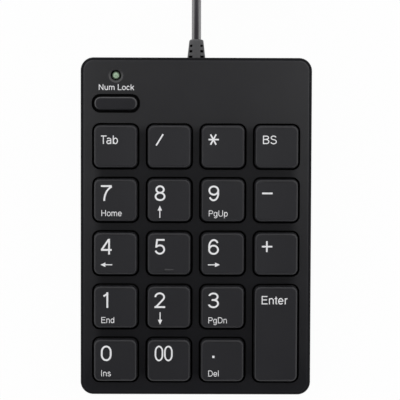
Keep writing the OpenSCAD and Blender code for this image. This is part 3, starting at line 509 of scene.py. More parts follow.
def printed_ink(name, base):
    """Thin printed ink with a slightly uneven edge to its cover."""
    finish = Finish(name)
    cover = finish.noise(0.25 * MM, 3.0)
    return finish.set({
        "Base Color": finish.tint(finish.ramp(cover, 0.3, 0.7), base, 0.93, 1.0),
        "Roughness": 0.55 + 0.15 * (cover - 0.5),
        "Specular IOR Level": 0.3,
        "Normal": finish.bump(cover, 0.003 * MM),
    })


def plain_metal(name, base, rough, along):
    """Drawn or rolled metal, with streaks along one way and dull patches."""
    finish = Finish(name)
    streaks = finish.noise(0.9 * MM, 3.0, finish.mapped(along))
    patches = finish.noise(6 * MM)
    return finish.set({
        "Base Color": finish.tint(patches, base, 0.86, 1.08),
        "Metallic": 1.0,
        "Roughness": rough + 0.22 * (streaks - 0.5) + 0.1 * (patches - 0.5),
        "Normal": finish.bump(streaks, 0.002 * MM),
    })


def lamp_lens(name, base):
    """Tinted lens: bright where the light's cup shows through it, deeper green towards its rim."""
    finish = Finish(name)
    x, y, _ = finish.axes(finish.mapped(shift=-lamp_place().translation))
    radius = finish.distance(x, y)
    spot = finish.ramp(radius, 0.1 * MM, 0.45 * MM)
    cup = finish.ramp(radius, LENS_RADIUS, 0.9 * MM) * (0.45 + 0.55 * spot)
    haze = finish.noise(0.4 * MM)
    return finish.set({
        "Base Color": finish.blend(cup, finish.tint(haze, base, 0.16, 0.24), shade(base, 1.15)),
        "Roughness": 0.12 + 0.1 * haze,
        "Coat Weight": 0.3,
        "Normal": finish.bump(haze, 0.004 * MM),
    })


def dome_rubber(name, base):
    """Pale silicone rubber that yellows a little in patches."""
    finish = Finish(name)
    skin = finish.noise(0.3 * MM)
    return finish.set({
        "Base Color": finish.tint(finish.noise(9 * MM, 3.0), base, 0.9, 1.08),
        "Roughness": 0.55 + 0.15 * (skin - 0.5),
        "Normal": finish.bump(skin, 0.006 * MM),
    })


def contact_film(name, base):
    """Clear film with rows of printed silver tracks."""
    finish = Finish(name)
    silver = (0.45, 0.45, 0.46, 1.0)
    sockets = {"Vector": finish.place, "Scale": 90.0, "Distortion": 6.0, "Detail": 1.0}
    waves = finish.add("ShaderNodeTexWave", {"wave_type": "BANDS", "bands_direction": "X"}, sockets, 1)
    track = waves > 0.8
    haze = finish.noise(7 * MM)
    return finish.set({
        "Base Color": finish.blend(track, finish.tint(haze, base, 0.93, 1.07), silver),
        "Roughness": 0.22 + 0.3 * track + 0.08 * haze,
        "Normal": finish.bump(track, 0.004 * MM),
    })


def board_lacquer(name, base):
    """Green lacquer over copper tracks that run along the board."""
    finish = Finish(name)
    gap, length, pitch = mm(0.14, 6.3, 0.9)
    bricks = {"Mortar Size": gap, "Brick Width": length, "Row Height": pitch}
    tracks = finish.add("ShaderNodeTexBrick", None, {"Vector": finish.place, "Scale": 1.0, **bricks}, "Fac")
    weave = finish.noise(0.5 * MM)
    return finish.set({
        "Base Color": finish.blend(tracks, finish.tint(weave, base, 0.85, 1.15), shade(base, 1.7)),
        "Roughness": 0.3 + 0.12 * weave,
        "Normal": finish.bump(tracks, 0.02 * MM),
    })


def woven_strap(name, base):
    """Woven tape: crossed ribs, a dull face and a few paler threads."""
    finish = Finish(name)
    x, y, z = finish.axes(finish.place)
    ribs = 0.5 + 0.5 * finish.wave(x, 0.7 * MM) * finish.wave(y + z, 0.55 * MM)
    lint = finish.noise(0.4 * MM, 3.0)
    return finish.set({
        "Base Color": finish.tint(0.6 * ribs + 0.4 * lint, base, 0.6, 1.5),
        "Roughness": 0.85 + 0.1 * (lint - 0.5),
        "Specular IOR Level": 0.2,
        "Normal": finish.bump(ribs, 0.05 * MM),
    })


def wire_coats(name):
    """Four wires, each with a coat of its own colour, told apart by their place across the cord."""
    finish = Finish(name)
    x, _, _ = finish.axes(finish.place)
    red, white = (0.35, 0.02, 0.02, 1.0), (0.62, 0.6, 0.56, 1.0)
    green, black = (0.03, 0.22, 0.06, 1.0), (0.015, 0.015, 0.016, 1.0)
    skin = finish.noise(0.3 * MM)
    left = finish.blend(x < -1.0 * MM, white, red)
    right = finish.blend(x > 1.0 * MM, green, black)
    return finish.set({
        "Base Color": finish.blend(x > 0.0, left, right),
        "Roughness": 0.4 + 0.15 * skin,
        "Normal": finish.bump(skin, 0.004 * MM),
    })


# How each finish is made, the colour that it takes, and its own numbers
FINISHES = {
    "case_plastic": (moulded_plastic, "case", 0.36, 0.2),
    "deck_plastic": (deck_plastic, "case"),
    "key_plastic": (key_plastic, "keys", 0.4, 0.0, "7"),
    "lock_plastic": (key_plastic, "keys", 0.27, 1.0, "num_lock"),
    "guide_plastic": (moulded_plastic, "guide", 0.8, 0.1),
    "connector_plastic": (moulded_plastic, "connector", 0.45, 0.5),
    "tongue_plastic": (moulded_plastic, "tongue", 0.4, 0.5),
    "chip_plastic": (moulded_plastic, "chip", 0.6, 0.4, 0.2 * MM),
    "grip_plastic": (moulded_plastic, "grip", 0.55, 0.35, 0.4 * MM, 0.008 * MM),
    "windowed_rubber": (windowed_rubber, "sleeve"),
    "dome_rubber": (dome_rubber, "domes"),
    "foot_rubber": (soft_rubber, "rubber"),
    "cord_jacket": (cord_vinyl, "cord"),
    "strap_tape": (woven_strap, "strap"),
    "contact_film": (contact_film, "film"),
    "board_laminate": (board_lacquer, "board"),
    "sheet_steel": (plain_metal, "steel", 0.4, (1.0, 14.0, 1.0)),
    "screw_steel": (plain_metal, "steel", 0.35, (8.0, 8.0, 1.0)),
    "plug_steel": (plain_metal, "plating", 0.26, (10.0, 1.0, 10.0)),
    "contact_metal": (plain_metal, "gold", 0.28, (10.0, 1.0, 10.0)),
    "wire_insulation": (wire_coats, None),
    "legend_ink": (printed_ink, "print"),
    "lamp_lens": (lamp_lens, "lamp"),
}
MADE = {}


def finish_for(name):
    """The named finish, made when it is first asked for."""
    if name not in MADE:
        make, tone, *numbers = FINISHES[name]
        base = [getattr(settings().colours, tone)] if tone else []
        MADE[name] = make(name, *base, *numbers)
    return MADE[name]


# Modelling


def let_go():
    """Leaves edit mode and drops the selection."""
    if bpy.context.object and bpy.context.object.mode != "OBJECT":
        bpy.ops.object.mode_set(mode="OBJECT")
    bpy.ops.object.select_all(action="DESELECT")


def hold(*pieces):
    """Selects only these pieces, the first of them active."""
    let_go()
    for piece in pieces:
        piece.select_set(True)
    bpy.context.view_layer.objects.active = pieces[0]


def choose(piece, kind, test):
    """Opens a piece in edit mode with those of its vertices, edges or faces selected that pass a test."""
    hold(piece)
    mesh = piece.data
    groups = {"VERT": mesh.vertices, "EDGE": mesh.edges, "FACE": mesh.polygons}
    bpy.context.tool_settings.mesh_select_mode = [kind == mode for mode in groups]
    for group in groups.values():
        group.foreach_set("select", [False] * len(group))
    for item in groups[kind]:
        corners = [item.index] if kind == "VERT" else item.vertices
        item.select = bool(test([mesh.vertices[i].co for i in corners]))
    bpy.ops.object.mode_set(mode="EDIT")


def everything(corners):
    return True


def on_top(corners):
    return all(corner.z > -NEAR for corner in corners)


def upright(ends):
    return (ends[0] - ends[1]).xy.length < NEAR


def along(axis):
    """A test for edges that run along an axis."""
    return lambda ends: abs(ends[0][axis] - ends[1][axis]) > NEAR


def at(axis, place):
    """A test for what lies at one place on an axis."""
    return lambda corners: all(abs(corner[axis] - place) < NEAR for corner in corners)


def at_level(level):
    return at(2, level)


def bevel(piece, test, radius, segments):
    """Rounds the edges of a piece that pass a test."""
    choose(piece, "EDGE", test)
    bpy.ops.mesh.bevel(offset=radius, offset_type="OFFSET", segments=segments, profile=0.5, affect="EDGES")
    let_go()


def extrude(rise):
    bpy.ops.mesh.extrude_region_move(TRANSFORM_OT_translate={"value": (0.0, 0.0, rise)})


def widen(x, y):
    """Scales what is selected along X and Y, about the origin."""
    bpy.ops.transform.resize(value=(x, y, 1.0), center_override=(0.0, 0.0, 0.0))


def take_out(piece, test):
    """Deletes the faces of a piece that pass a test."""
    choose(piece, "FACE", test)
    bpy.ops.mesh.delete(type="FACE")
    let_go()


def rename(piece, name):
    piece.name = piece.data.name = name
    return piece


def settle(piece, matrix):
    """Puts a piece in its place and leaves its object at the origin."""
    hold(piece)
    piece.matrix_world = matrix
    bpy.ops.object.transform_apply(location=True, rotation=True, scale=True)


def block(name, extent, middle):
    """A block of the given extent about a middle, as a start for a piece."""
    let_go()
    bpy.ops.mesh.primitive_cube_add(size=1.0)
    piece = rename(bpy.context.object, name)
    settle(piece, Matrix.Translation(middle) @ Matrix.Diagonal((*extent, 1.0)))
    return piece


def rod(name, radius, low, high, middle=(0.0, 0.0), sides=32):
    """An upright rod between two levels, as a start for a piece."""
    let_go()
    bpy.ops.mesh.primitive_cylinder_add(vertices=sides, radius=radius, depth=high - low)
    piece = rename(bpy.context.object, name)
    settle(piece, Matrix.Translation((*middle, (low + high) / 2)))
    return piece


def copy_of(piece, name):
    hold(piece)
    bpy.ops.object.duplicate(linked=False)
    return rename(bpy.context.object, name)


def modify(piece, kind, **options):
    """Adds a modifier to a piece, sets it up and applies it."""
    hold(piece)
    bpy.ops.object.modifier_add(type=kind)
    modifier = piece.modifiers[-1]
    for name, value in options.items():
        setattr(modifier, name, value)
    bpy.ops.object.modifier_apply(modifier=modifier.name)


def weld(piece, tool, operation="UNION"):
    """Joins a tool solid to a piece, or cuts it out."""
    modify(piece, "BOOLEAN", operation=operation, solver="EXACT", object=tool)
    bpy.data.objects.remove(tool)


def thicken(piece, thickness):
    """Gives an open face a thickness behind it."""
    modify(piece, "SOLIDIFY", thickness=thickness, offset=-1.0)


def smooth(piece, degrees=35):
    """Smooths the rounded faces of a piece and keeps its flat ones flat."""
    hold(piece)
    bpy.ops.object.shade_smooth_by_angle(angle=math.radians(degrees))
    modify(piece, "WEIGHTED_NORMAL", keep_sharp=True)


def dress(piece, finish, slot, body, *nodes):
    """Gives a piece its finish and its body, and hides the nodes that it stands for; the slot is not used."""
    piece.data.materials.clear()
    piece.data.materials.append(finish_for(finish))
    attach(piece, body)
    if nodes:
        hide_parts(*nodes)


# Keys

MAIN_KEYS = [
    "tab", "divide", "multiply", "backspace",
    "7", "8", "9", "minus",
    "4", "5", "6", "plus",
    "1", "2", "3",
    "0", "00", "decimal",
]

# How far plungers and lugs reach into the key that carries them
ROOT = 0.4 * MM


def key_box(name):
    """Middle, width and depth of a key on the deck, with its top's and its plunger's level."""
    low, high = deck_box("key_" + name)
    if name == "5":
        high.z = deck_box("key_4")[1].z
    return (low + high) / 2, high.x - low.x, high.y - low.y, high.z, low.z


def key_place(name):
    """Where a key's top lies, with its own X, Y and Z along and square to the deck."""
    middle, _, _, top, _ = key_box(name)
    return TILT @ Matrix.Translation((middle.x, middle.y, top))


def trough_reach(width):
    sizes = settings().keys
    rim = 0.3 * MM
    return width / 2 - sizes.draft - sizes.edge - rim


def trough(x, width):
    """Level of a key's top below its rim, at a distance from its middle line."""
    share = min(1.0, abs(x) / trough_reach(width))
    return -settings().keys.dish * (1 - share * share)


def keycap(name, width, depth, height, corner):
    """A cap with rounded corners, leaning sides and a round top edge; its top lies at level 0."""
    sizes = settings().keys
    cap = block(name, (width, depth, height), (0.0, 0.0, -height / 2))
    bevel(cap, upright, corner, 8)
    choose(cap, "VERT", on_top)
    widen(1 - 2 * sizes.draft / width, 1 - 2 * sizes.draft / depth)
    bevel(cap, on_top, sizes.edge, 6)
    return cap


def hollow_trough(cap, width):
    """Sinks the shallow trough that runs along a key's top."""
    reach = trough_reach(width)
    cuts = [reach * step / 4 for step in range(-4, 5)]
    for cut in cuts:
        choose(cap, "FACE", on_top)
        bpy.ops.mesh.bisect(plane_co=(cut, 0.0, 0.0), plane_no=(1.0, 0.0, 0.0))
        let_go()
    for cut in cuts[1:-1]:
        choose(cap, "VERT", lambda corner: corner[0].z > -NEAR and abs(corner[0].x - cut) < NEAR)
        bpy.ops.transform.translate(value=(0.0, 0.0, trough(cut, width)))
        let_go()


def add_plunger(cap, length):
    """Adds the plunger and its two barbs under a key."""
    sizes = settings().keys
    tip, barb_length = mm(0.3, 2.0)
    stem = rod("plunger", sizes.stem / 2, -length, ROOT - sizes.ceiling)
    bevel(stem, at_level(-length), tip, 2)
    weld(cap, stem)
    reach = sizes.stem / 2 + sizes.barb_reach
    foot = -sizes.barb_depth - sizes.barb_height
    extent = (barb_length, sizes.barb_width, sizes.barb_height)
    for side in (-1, 1):
        barb = block("barb", extent, (side * (reach - barb_length / 2), 0.0, foot + sizes.barb_height / 2))
        choose(barb, "VERT", lambda corner: side * corner[0].x > reach - NEAR and corner[0].z < foot + NEAR)
        bpy.ops.transform.translate(value=(-side * sizes.barb_reach, 0.0, 0.0))
        weld(cap, barb)


def add_wire_lugs(cap):
    """Adds the two slotted lugs that the stabilizer wire slides in, under the enter key."""
    wire_low, wire_high = deck_box("enter_stabilizer")
    middle, _, _, top, _ = key_box("enter")
    turn = next(joint for joint in frame["joints"] if joint["type"] == "hinge")
    axis = TILT.inverted() @ Vector(turn["pos_m"])
    wire, web, gap, thick, end_gap = mm(1.2, 0.8, 0.1, 1.2, 0.2)
    arm = math.hypot(wire_high.x - wire / 2 - axis.x, wire_high.z - wire / 2 - axis.z)
    left = wire_high.x - middle.x - wire - gap
    right = axis.x + arm + wire / 2 + gap - middle.x
    high = wire_high.z - top + gap
    low = high - wire - 2 * gap
    root = ROOT - settings().keys.ceiling
    for side, end in ((-1, wire_low.y), (1, wire_high.y)):
        place = end - middle.y - side * (end_gap + thick / 2)
        lug_extent = (right - left + 2 * web, thick, root - low + web)
        slot_extent = (right - left, 2 * thick, high - low)
        lug = block("lug", lug_extent, ((left + right) / 2, place, (low - web + root) / 2))
        slot = block("slot", slot_extent, ((left + right) / 2, place, (low + high) / 2))
        weld(lug, slot, "DIFFERENCE")
        weld(cap, lug)


def add_homing_bar(cap, width, depth):
    """Adds the raised bar that fingers find on the middle key."""
    length, breadth, height = settings().keys.bar
    floor = trough(0.0, width)
    sunk = 0.3 * MM
    place = (0.0, -0.73 * depth / 2, floor + (height - sunk) / 2)
    bar = block("bar", (length, breadth, height + sunk), place)
    bevel(bar, upright, breadth * 0.45, 4)
    bevel(bar, at_level(floor + height), breadth * 0.46, 5)
    weld(cap, bar)


def full_key(piece_name, name):
    """A full-size key with its trough, its hollow skirt and its plunger."""
    sizes = settings().keys
    _, width, depth, top, foot = key_box(name)
    cap = keycap(piece_name, width, depth, sizes.height, sizes.corner)
    hollow_trough(cap, width)
    choose(cap, "FACE", at_level(-sizes.height))
    bpy.ops.mesh.inset(thickness=sizes.wall)
    extrude(sizes.height - sizes.ceiling)
    let_go()
    add_plunger(cap, top - foot)
    return cap


def finish_key(cap, name, finish="key_plastic"):
    smooth(cap)
    settle(cap, key_place(name))
    dress(cap, finish, "key_plastic", name + "_key", "key_" + name)


class KEYPAD_OT_main_keys(bpy.types.Operator):
    """Model the square keys once and copy them to their places"""

    bl_idname = "keypad.main_keys"
    bl_label = "Square Keys"

    def execute(self, context):
        _, width, depth, _, _ = key_box("7")
        cap = full_key("cap_pattern", "7")
        for name in MAIN_KEYS:
            key = copy_of(cap, "cap_" + name)
            if name == "5":
                add_homing_bar(key, width, depth)
            finish_key(key, name)
        bpy.data.objects.remove(cap)
        return {"FINISHED"}


class KEYPAD_OT_enter_key(bpy.types.Operator):
    """Model the enter key, two rows tall, with its lugs for the stabilizer wire"""

    bl_idname = "keypad.enter_key"
    bl_label = "Enter Key"

    def execute(self, context):
        cap = full_key("cap_enter", "enter")
        add_wire_lugs(cap)
        finish_key(cap, "enter")
        return {"FINISHED"}


class KEYPAD_OT_lock_key(bpy.types.Operator):
    """Model the pill-shaped num lock key with its flange and plunger"""

    bl_idname = "keypad.lock_key"
    bl_label = "Num Lock Key"

    def execute(self, context):
        sizes = settings().keys
        _, width, depth, top, foot = key_box("num_lock")
        cap_width, cap_depth = width - 2 * sizes.lock_flange, depth - 2 * sizes.lock_flange
        cap = keycap("cap_num_lock", cap_width, cap_depth, sizes.lock_height, sizes.lock_corner)
        base = -sizes.lock_height
        thick = sizes.lock_flange_height
        flange = block("flange", (width, depth, thick), (0.0, 0.0, base + thick / 2))
        bevel(flange, upright, sizes.lock_corner + sizes.lock_flange, 8)
        weld(cap, flange)
        stem = rod("plunger", sizes.lock_stem / 2, foot - top, base + ROOT)
        bevel(stem, at_level(foot - top), 0.25 * MM, 2)
        weld(cap, stem)
        finish_key(cap, "num_lock", "lock_plastic")
        return {"FINISHED"}


# Domes


def dome(name, foot, top, height):
    """A thin-walled dome that stands on level 0, hollow from below."""
    wall = settings().domes.wall
    shoulder = 0.72 * height
    piece = rod(name, foot / 2, 0.0, shoulder)
    choose(piece, "FACE", at_level(shoulder))
    slim = (top + wall) / foot
    widen(slim, slim)
    bpy.ops.mesh.inset(thickness=wall / 2)
    extrude(height - shoulder)
    choose(piece, "FACE", at_level(0.0))
    bpy.ops.mesh.inset(thickness=wall)
    extrude(shoulder - wall)
    slim = (top - wall) / (foot - 2 * wall)
    widen(slim, slim)
    bevel(piece, at_level(height), 0.2 * MM, 3)
    smooth(piece)
    return piece


def dome_base(low, high):
    """The flat sheet that the domes stand in, cut from the construction's sheet."""
    sheet = bpy.data.objects.new("dome_base", frame["nodes"]["dome_sheet"].data.copy())
    bpy.context.scene.collection.objects.link(sheet)
    choose(sheet, "VERT", everything)
    bpy.ops.mesh.remove_doubles(threshold=MERGE)
    margin = MM
    top = low.z + settings().domes.sheet
    foot = low.z - margin
    extent = (high.x - low.x + 2 * margin, high.y - low.y + 2 * margin, top - foot)
    slab = block("slab", extent, ((low.x + high.x) / 2, (low.y + high.y) / 2, (top + foot) / 2))
    settle(slab, TILT)
    weld(sheet, slab, "INTERSECT")
    smooth(sheet)
    return sheet


class KEYPAD_OT_domes(bpy.types.Operator):
    """Model the rubber domes, which give way under their keys, and the sheet between them"""

    bl_idname = "keypad.domes"
    bl_label = "Rubber Domes"

    def execute(self, context):
        form = settings().domes
        low, high = deck_box("dome_sheet")
        height = high.z - low.z
        dress(dome_base(low, high), "dome_rubber", "dome_rubber", "case", "dome_sheet")
        large = dome("dome_enter", form.foot, form.top, height)
        domes = {name: copy_of(large, "dome_" + name) for name in MAIN_KEYS}
        domes["enter"] = large
        domes["num_lock"] = dome("dome_num_lock", form.small_foot, form.small_top, height)
        for name, piece in domes.items():
            middle = key_box(name)[0]
            place = TILT @ Matrix.Translation((middle.x, middle.y, low.z))
            settle(piece, place)
            dress(piece, "dome_rubber", "dome_rubber", "case", "dome_sheet")
            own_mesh(piece)
        return {"FINISHED"}


# Print


def flat_bar(start, end, breadth):
    """A straight stroke of ink from one point to another."""
    let_go()
    bpy.ops.mesh.primitive_plane_add(size=1.0)
    bar = bpy.context.object
    start, end = Vector(start), Vector(end)
    way = end - start
    middle = (start + end) / 2
    turn = Matrix.Rotation(math.atan2(way.y, way.x), 4, "Z")
    stretch = Matrix.Diagonal((way.length, breadth, 1.0, 1.0))
    settle(bar, Matrix.Translation((*middle, 0.0)) @ turn @ stretch)
    return bar


def flat_arc(middle, radii, start, end, breadth):
    """A curved stroke of ink along part of an oval, from one angle to another in degrees."""
    let_go()
    bpy.ops.mesh.primitive_circle_add(vertices=72, radius=1.0)
    arc = bpy.context.object
    settle(arc, Matrix.Diagonal((*radii, 1.0, 1.0)))
    choose(arc, "EDGE", everything)
    extrude(0.0)
    widen(*(1 - breadth / radius for radius in radii))
    let_go()

    def left_out(corners):
        place = sum(corners, Vector())
        angle = math.degrees(math.atan2(place.y / radii[1], place.x / radii[0]))
        return (angle - start) % 360 > end - start

    if end - start < 360:
        take_out(arc, left_out)
    settle(arc, Matrix.Translation((*middle, 0.0)))
    return arc


def drawn(strokes, left, base, wide, tall, pen):
    """Strokes in shares of a width and height: bars by their ends, bows by their middle, radii and angles."""
    parts = []
    for x, y, *rest in strokes:
        start = (left + x * wide, base + y * tall)
        if len(rest) == 2:
            parts.append(flat_bar(start, (left + rest[0] * wide, base + rest[1] * tall), pen))
        else:
            across, up, begin, end = rest
            parts.append(flat_arc(start, (across * wide, up * tall), begin, end, pen))
    return parts


def arrow(tail, tip):
    """A thin shaft with a solid head, between points in millimetres."""
    tail, tip = Vector(mm(*tail)), Vector(mm(*tip))
    head_length, head_width = mm(1.75, 1.6)
    way = (tip - tail).normalized()
    shaft = flat_bar(tail, tip - way * head_length * 0.8, settings().print.arrow_pen)
    let_go()
    bpy.ops.mesh.primitive_circle_add(vertices=3, radius=1.0, fill_type="NGON")
    head = bpy.context.object
    back = tip - way * head_length * 2 / 3
    turn = Matrix.Rotation(math.atan2(way.y, way.x) - math.pi / 2, 4, "Z")
    stretch = Matrix.Diagonal((head_width / math.sqrt(3), head_length / 1.5, 1.0, 1.0))
    settle(head, Matrix.Translation((*back, 0.0)) @ turn @ stretch)
    return [shaft, head]


def asterisk(left, right, low, high, breadth):
    """Three crossed strokes."""
    middle = Vector(((left + right) / 2, (low + high) / 2))
    root_of_three = 1.732
    across, up = (right - left) / 2, (high - low) / root_of_three
    strokes = []
    for angle in (0, math.radians(60), math.radians(120)):
        reach = Vector((math.cos(angle) * across, math.sin(angle) * up))
        strokes.append(flat_bar(middle - reach, middle + reach, breadth))
    return strokes


def ink(parts, name, level):
    """Lays flat strokes on a surface, gives the ink its thickness and joins the strokes."""
    thickness = settings().print.ink
    for part in parts:
        face_down = part.data.polygons[0].normal.z < 0
        choose(part, "FACE", everything)
        bpy.ops.mesh.remove_doubles(threshold=MERGE)
        if face_down:
            bpy.ops.mesh.flip_normals()
        hold(part)
        for vertex in part.data.vertices:
            vertex.co.z = level(vertex.co.x) + thickness
        thicken(part, 1.4 * thickness)
    legend, *others = parts
    for part in others:
        weld(legend, part)
    return rename(legend, name)


# Strokes of the letters, in thousandths of a type size: straight ones by their ends, round ones by their
# middle, outer radii and angles. The first number is the distance to the next letter.
CAPITAL = 718
LETTERS = {
    " ": (278, []),
    "B": (667, [
        (116, 0, 116, 718), (116, 676, 370, 676), (116, 397, 375, 397), (116, 42, 380, 42),
        (370, 546, 230, 172, -90, 90), (380, 210, 247, 210, -90, 90),
    ]),
    "D": (722, [(123, 0, 123, 718), (123, 676, 370, 676), (123, 42, 370, 42), (370, 359, 304, 359, -90, 90)]),
    "E": (667, [(128, 0, 128, 718), (128, 676, 605, 676), (128, 380, 570, 380), (128, 42, 616, 42)]),
    "H": (722, [(119, 0, 119, 718), (604, 0, 604, 718), (119, 375, 604, 375)]),
    "I": (278, [(139, 0, 139, 718)]),
    "L": (556, [(118, 0, 118, 718), (118, 42, 537, 42)]),
    "N": (722, [(118, 0, 118, 718), (604, 0, 604, 718), (118, 685, 604, 33)]),
    "P": (667, [
        (128, 0, 128, 718), (128, 676, 410, 676), (128, 335, 410, 335), (410, 505, 212, 213, -90, 90),
    ]),
    "S": (667, [(328, 538, 252, 192, 15, 270), (334, 200, 278, 215, -165, 90)]),
    "T": (540, [(14, 676, 597, 676), (305, 0, 305, 676)]),
    "U": (722, [(121, 235, 121, 718), (602, 235, 602, 718), (361, 240, 283, 255, 180, 360)]),
    "a": (556, [
        (432, 0, 432, 380), (268, 370, 206, 168, 0, 155), (240, 155, 204, 170, 90, 345), (240, 283, 432, 300),
    ]),
    "b": (556, [(100, 0, 100, 718), (295, 262, 222, 276, 0, 360)]),
    "c": (500, [(258, 262, 228, 276, 40, 320)]),
    "d": (556, [(457, 0, 457, 718), (257, 262, 222, 276, 0, 360)]),
    "e": (556, [(278, 262, 238, 276, 0, 325), (70, 262, 490, 262)]),
    "g": (556, [(457, -10, 457, 523), (257, 262, 222, 276, 0, 360), (270, -10, 229, 205, 205, 360)]),
    "k": (500, [(109, 0, 109, 718), (130, 215, 450, 515), (235, 310, 470, 0)]),
    "l": (222, [(111, 0, 111, 718)]),
    "m": (833, [
        (107, 0, 107, 523), (417, 0, 417, 335), (727, 0, 727, 335),
        (262, 330, 197, 208, 0, 180), (572, 330, 197, 208, 0, 180),
    ]),
    "n": (556, [(107, 0, 107, 523), (449, 0, 449, 335), (278, 330, 213, 208, 0, 180)]),
    "o": (556, [(278, 262, 243, 276, 0, 360)]),
    "p": (556, [(100, -207, 100, 523), (295, 262, 222, 276, 0, 360)]),
    "r": (333, [(119, 0, 119, 523), (300, 325, 223, 213, 85, 180)]),
    "s": (500, [(242, 385, 190, 153, 15, 270), (250, 145, 214, 160, -165, 90)]),
    "t": (278, [(140, 90, 140, 670), (14, 485, 257, 485), (235, 95, 137, 102, 180, 275)]),
    "u": (556, [(110, 190, 110, 523), (447, 0, 447, 523), (279, 193, 211, 208, 180, 360)]),
}


def word(text, left, base, wide, cap, pen):
    """The strokes of a word, with its left edge, base line, width, capital height and pen given."""
    scale = cap / CAPITAL
    place = 0.0
    parts = []
    for letter in text:
        advance, strokes = LETTERS[letter]
        parts += drawn(strokes, place, 0.0, scale, scale, pen)
        place += advance * scale
    xs = [vertex.co.x for part in parts for vertex in part.data.vertices]
    stretch = wide / (max(xs) - min(xs))
    fit = Matrix.Translation((left - min(xs) * stretch, base, 0.0))
    for part in parts:
        settle(part, fit @ Matrix.Diagonal((stretch, 1.0, 1.0, 1.0)))
    return parts


def key_name(text, left, base, wide):
    form = settings().print
    return word(text, *mm(left, base, wide), form.name, form.name_pen)


def small_word(text, wide):
    form = settings().print
    return word(text, -form.word_left, *mm(-5.7, wide), form.word, form.word_pen)


def digit(figure, left, wide, pen):
    """The strokes of a large digit, whose places are shares of its width and height."""
    base, tall = -0.27 * MM, settings().print.digit
    side, rim = pen / wide / 2, pen / tall / 2
    figures = {
        "0": [
            (0.5, 0.6, 0.5, 0.4, 0, 180), (0.5, 0.4, 0.5, 0.4, 180, 360),
            (side, 0.39, side, 0.61), (1 - side, 0.39, 1 - side, 0.61),
        ],
        "1": [(0.6, 0.0, 0.6, 1.0), (0.65, 0.92, 0.24, 0.74)],
        "2": [(0.49, 0.7, 0.49, 0.3, -45, 180), (0.81, 0.55, 0.13, rim), (0.0, rim, 1.0, rim)],
        "3": [
            (0.5, 0.735, 0.48, 0.265, -90, 165), (0.5, 0.29, 0.52, 0.29, -165, 90), (0.34, 0.525, 0.5, 0.525),
        ],
        "4": [(0.76, 0.0, 0.76, 1.0), (0.0, 0.29, 1.0, 0.29), (0.06, 0.29, 0.72, 0.96)],
        "5": [
            (0.18, 1 - rim, 0.93, 1 - rim), (0.24, 0.98, 0.14, 0.45), (0.49, 0.325, 0.49, 0.325, -165, 140),
        ],
        "6": [(0.5, 0.32, 0.5, 0.32, 0, 360), (0.52, 0.5, 0.52, 0.5, 35, 200)],
        "7": [(0.0, 1 - rim, 1.0, 1 - rim), (1.38, 0.0, 1.16, 1.03, 110, 180)],
        "8": [(0.5, 0.735, 0.43, 0.265, 0, 360), (0.5, 0.29, 0.5, 0.29, 0, 360)],
        "9": [(0.5, 0.68, 0.5, 0.32, 0, 360), (0.48, 0.5, 0.52, 0.5, 215, 380)],
    }
    return drawn(figures[figure], left, base, wide, tall, pen)


def large_digit(figure):
    form = settings().print
    return digit(figure, -form.digit_left, form.digit_width, form.pen)


def double_zero():
    """Two narrow noughts side by side."""
    first, second, wide, pen = mm(-5.02, -1.67, 3.05, 0.56)
    return digit("0", first, wide, pen) + digit("0", second, wide, pen)


def legend_parts():
    """What is printed on each key, in the key's own coordinates."""
    pen = settings().print.sign_pen
    minus_pen, plus_pen, dot = mm(0.62, 0.58, 0.8)
    return {
        "tab": key_name("Tab", -5.45, 0.86, 6.3),
        "backspace": key_name("BS", -4.93, 0.99, 4.92),
        "enter": key_name("Enter", -5.1, 10.66, 9.2),
        "divide": [flat_bar(mm(-4.65, 0.35), mm(-2.2, 4.35), pen)],
        "multiply": asterisk(*mm(-5.42, -1.5, 0.7, 4.35), pen),
        "minus": [flat_bar(mm(-5.42, 2.55), mm(-1.43, 2.55), minus_pen)],
        "plus": [
            flat_bar(mm(-5.3, 2.67), mm(-1.4, 2.67), plus_pen),
            flat_bar(mm(-3.35, 0.72), mm(-3.35, 4.62), plus_pen),
        ],
        "7": large_digit("7") + small_word("Home", 7.2),
        "8": large_digit("8") + arrow((-3.3, -6.2), (-3.3, -1.9)),
        "9": large_digit("9") + small_word("PgUp", 6.7),
        "4": large_digit("4") + arrow((-1.1, -3.94), (-5.3, -3.94)),
        "5": large_digit("5"),
        "6": large_digit("6") + arrow((-5.2, -3.86), (-0.95, -3.86)),
        "1": large_digit("1") + small_word("End", 4.57),
        "2": large_digit("2") + arrow((-3.13, -1.8), (-3.13, -6.22)),
        "3": large_digit("3") + small_word("PgDn", 6.55),
        "0": large_digit("0") + small_word("Ins", 3.4),
        "00": double_zero(),
        "decimal": [flat_bar(mm(-3.56, 1.33), mm(-2.76, 1.33), dot)] + small_word("Del", 3.7),
    }


class KEYPAD_OT_legends(bpy.types.Operator):
    """Print the digits, signs and words on the keys"""

    bl_idname = "keypad.legends"
    bl_label = "Key Legends"

    def execute(self, context):
        width = key_box("7")[1]
        for name, parts in legend_parts().items():
            legend = ink(parts, "legend_" + name, lambda x: trough(x, width))
            settle(legend, key_place(name))
            dress(legend, "legend_ink", "legend_ink", name + "_key")
        return {"FINISHED"}


class KEYPAD_OT_deck_label(bpy.types.Operator):
    """Print the name of the num lock key on the deck"""

    bl_idname = "keypad.deck_label"
    bl_label = "Deck Label"

    def execute(self, context):
        form = settings().print
        middle = middle_of("key_num_lock")
        deck = deck_box("top_cover")[1].z
        parts = word("Num Lock", *mm(-6.05, 4.72, 12.55), form.label, form.label_pen)
        label = ink(parts, "deck_label", lambda x: 0.0)
        settle(label, TILT @ Matrix.Translation((middle.x, middle.y, deck)))
        dress(label, "legend_ink", "legend_ink", "case")
        return {"FINISHED"}


# Lamp


def lamp_place():
    """Where the top of the status light's lens lies."""
    middle = middle_of("status_light")
    return TILT @ Matrix.Translation((middle.x, middle.y, deck_box("status_light")[1].z))


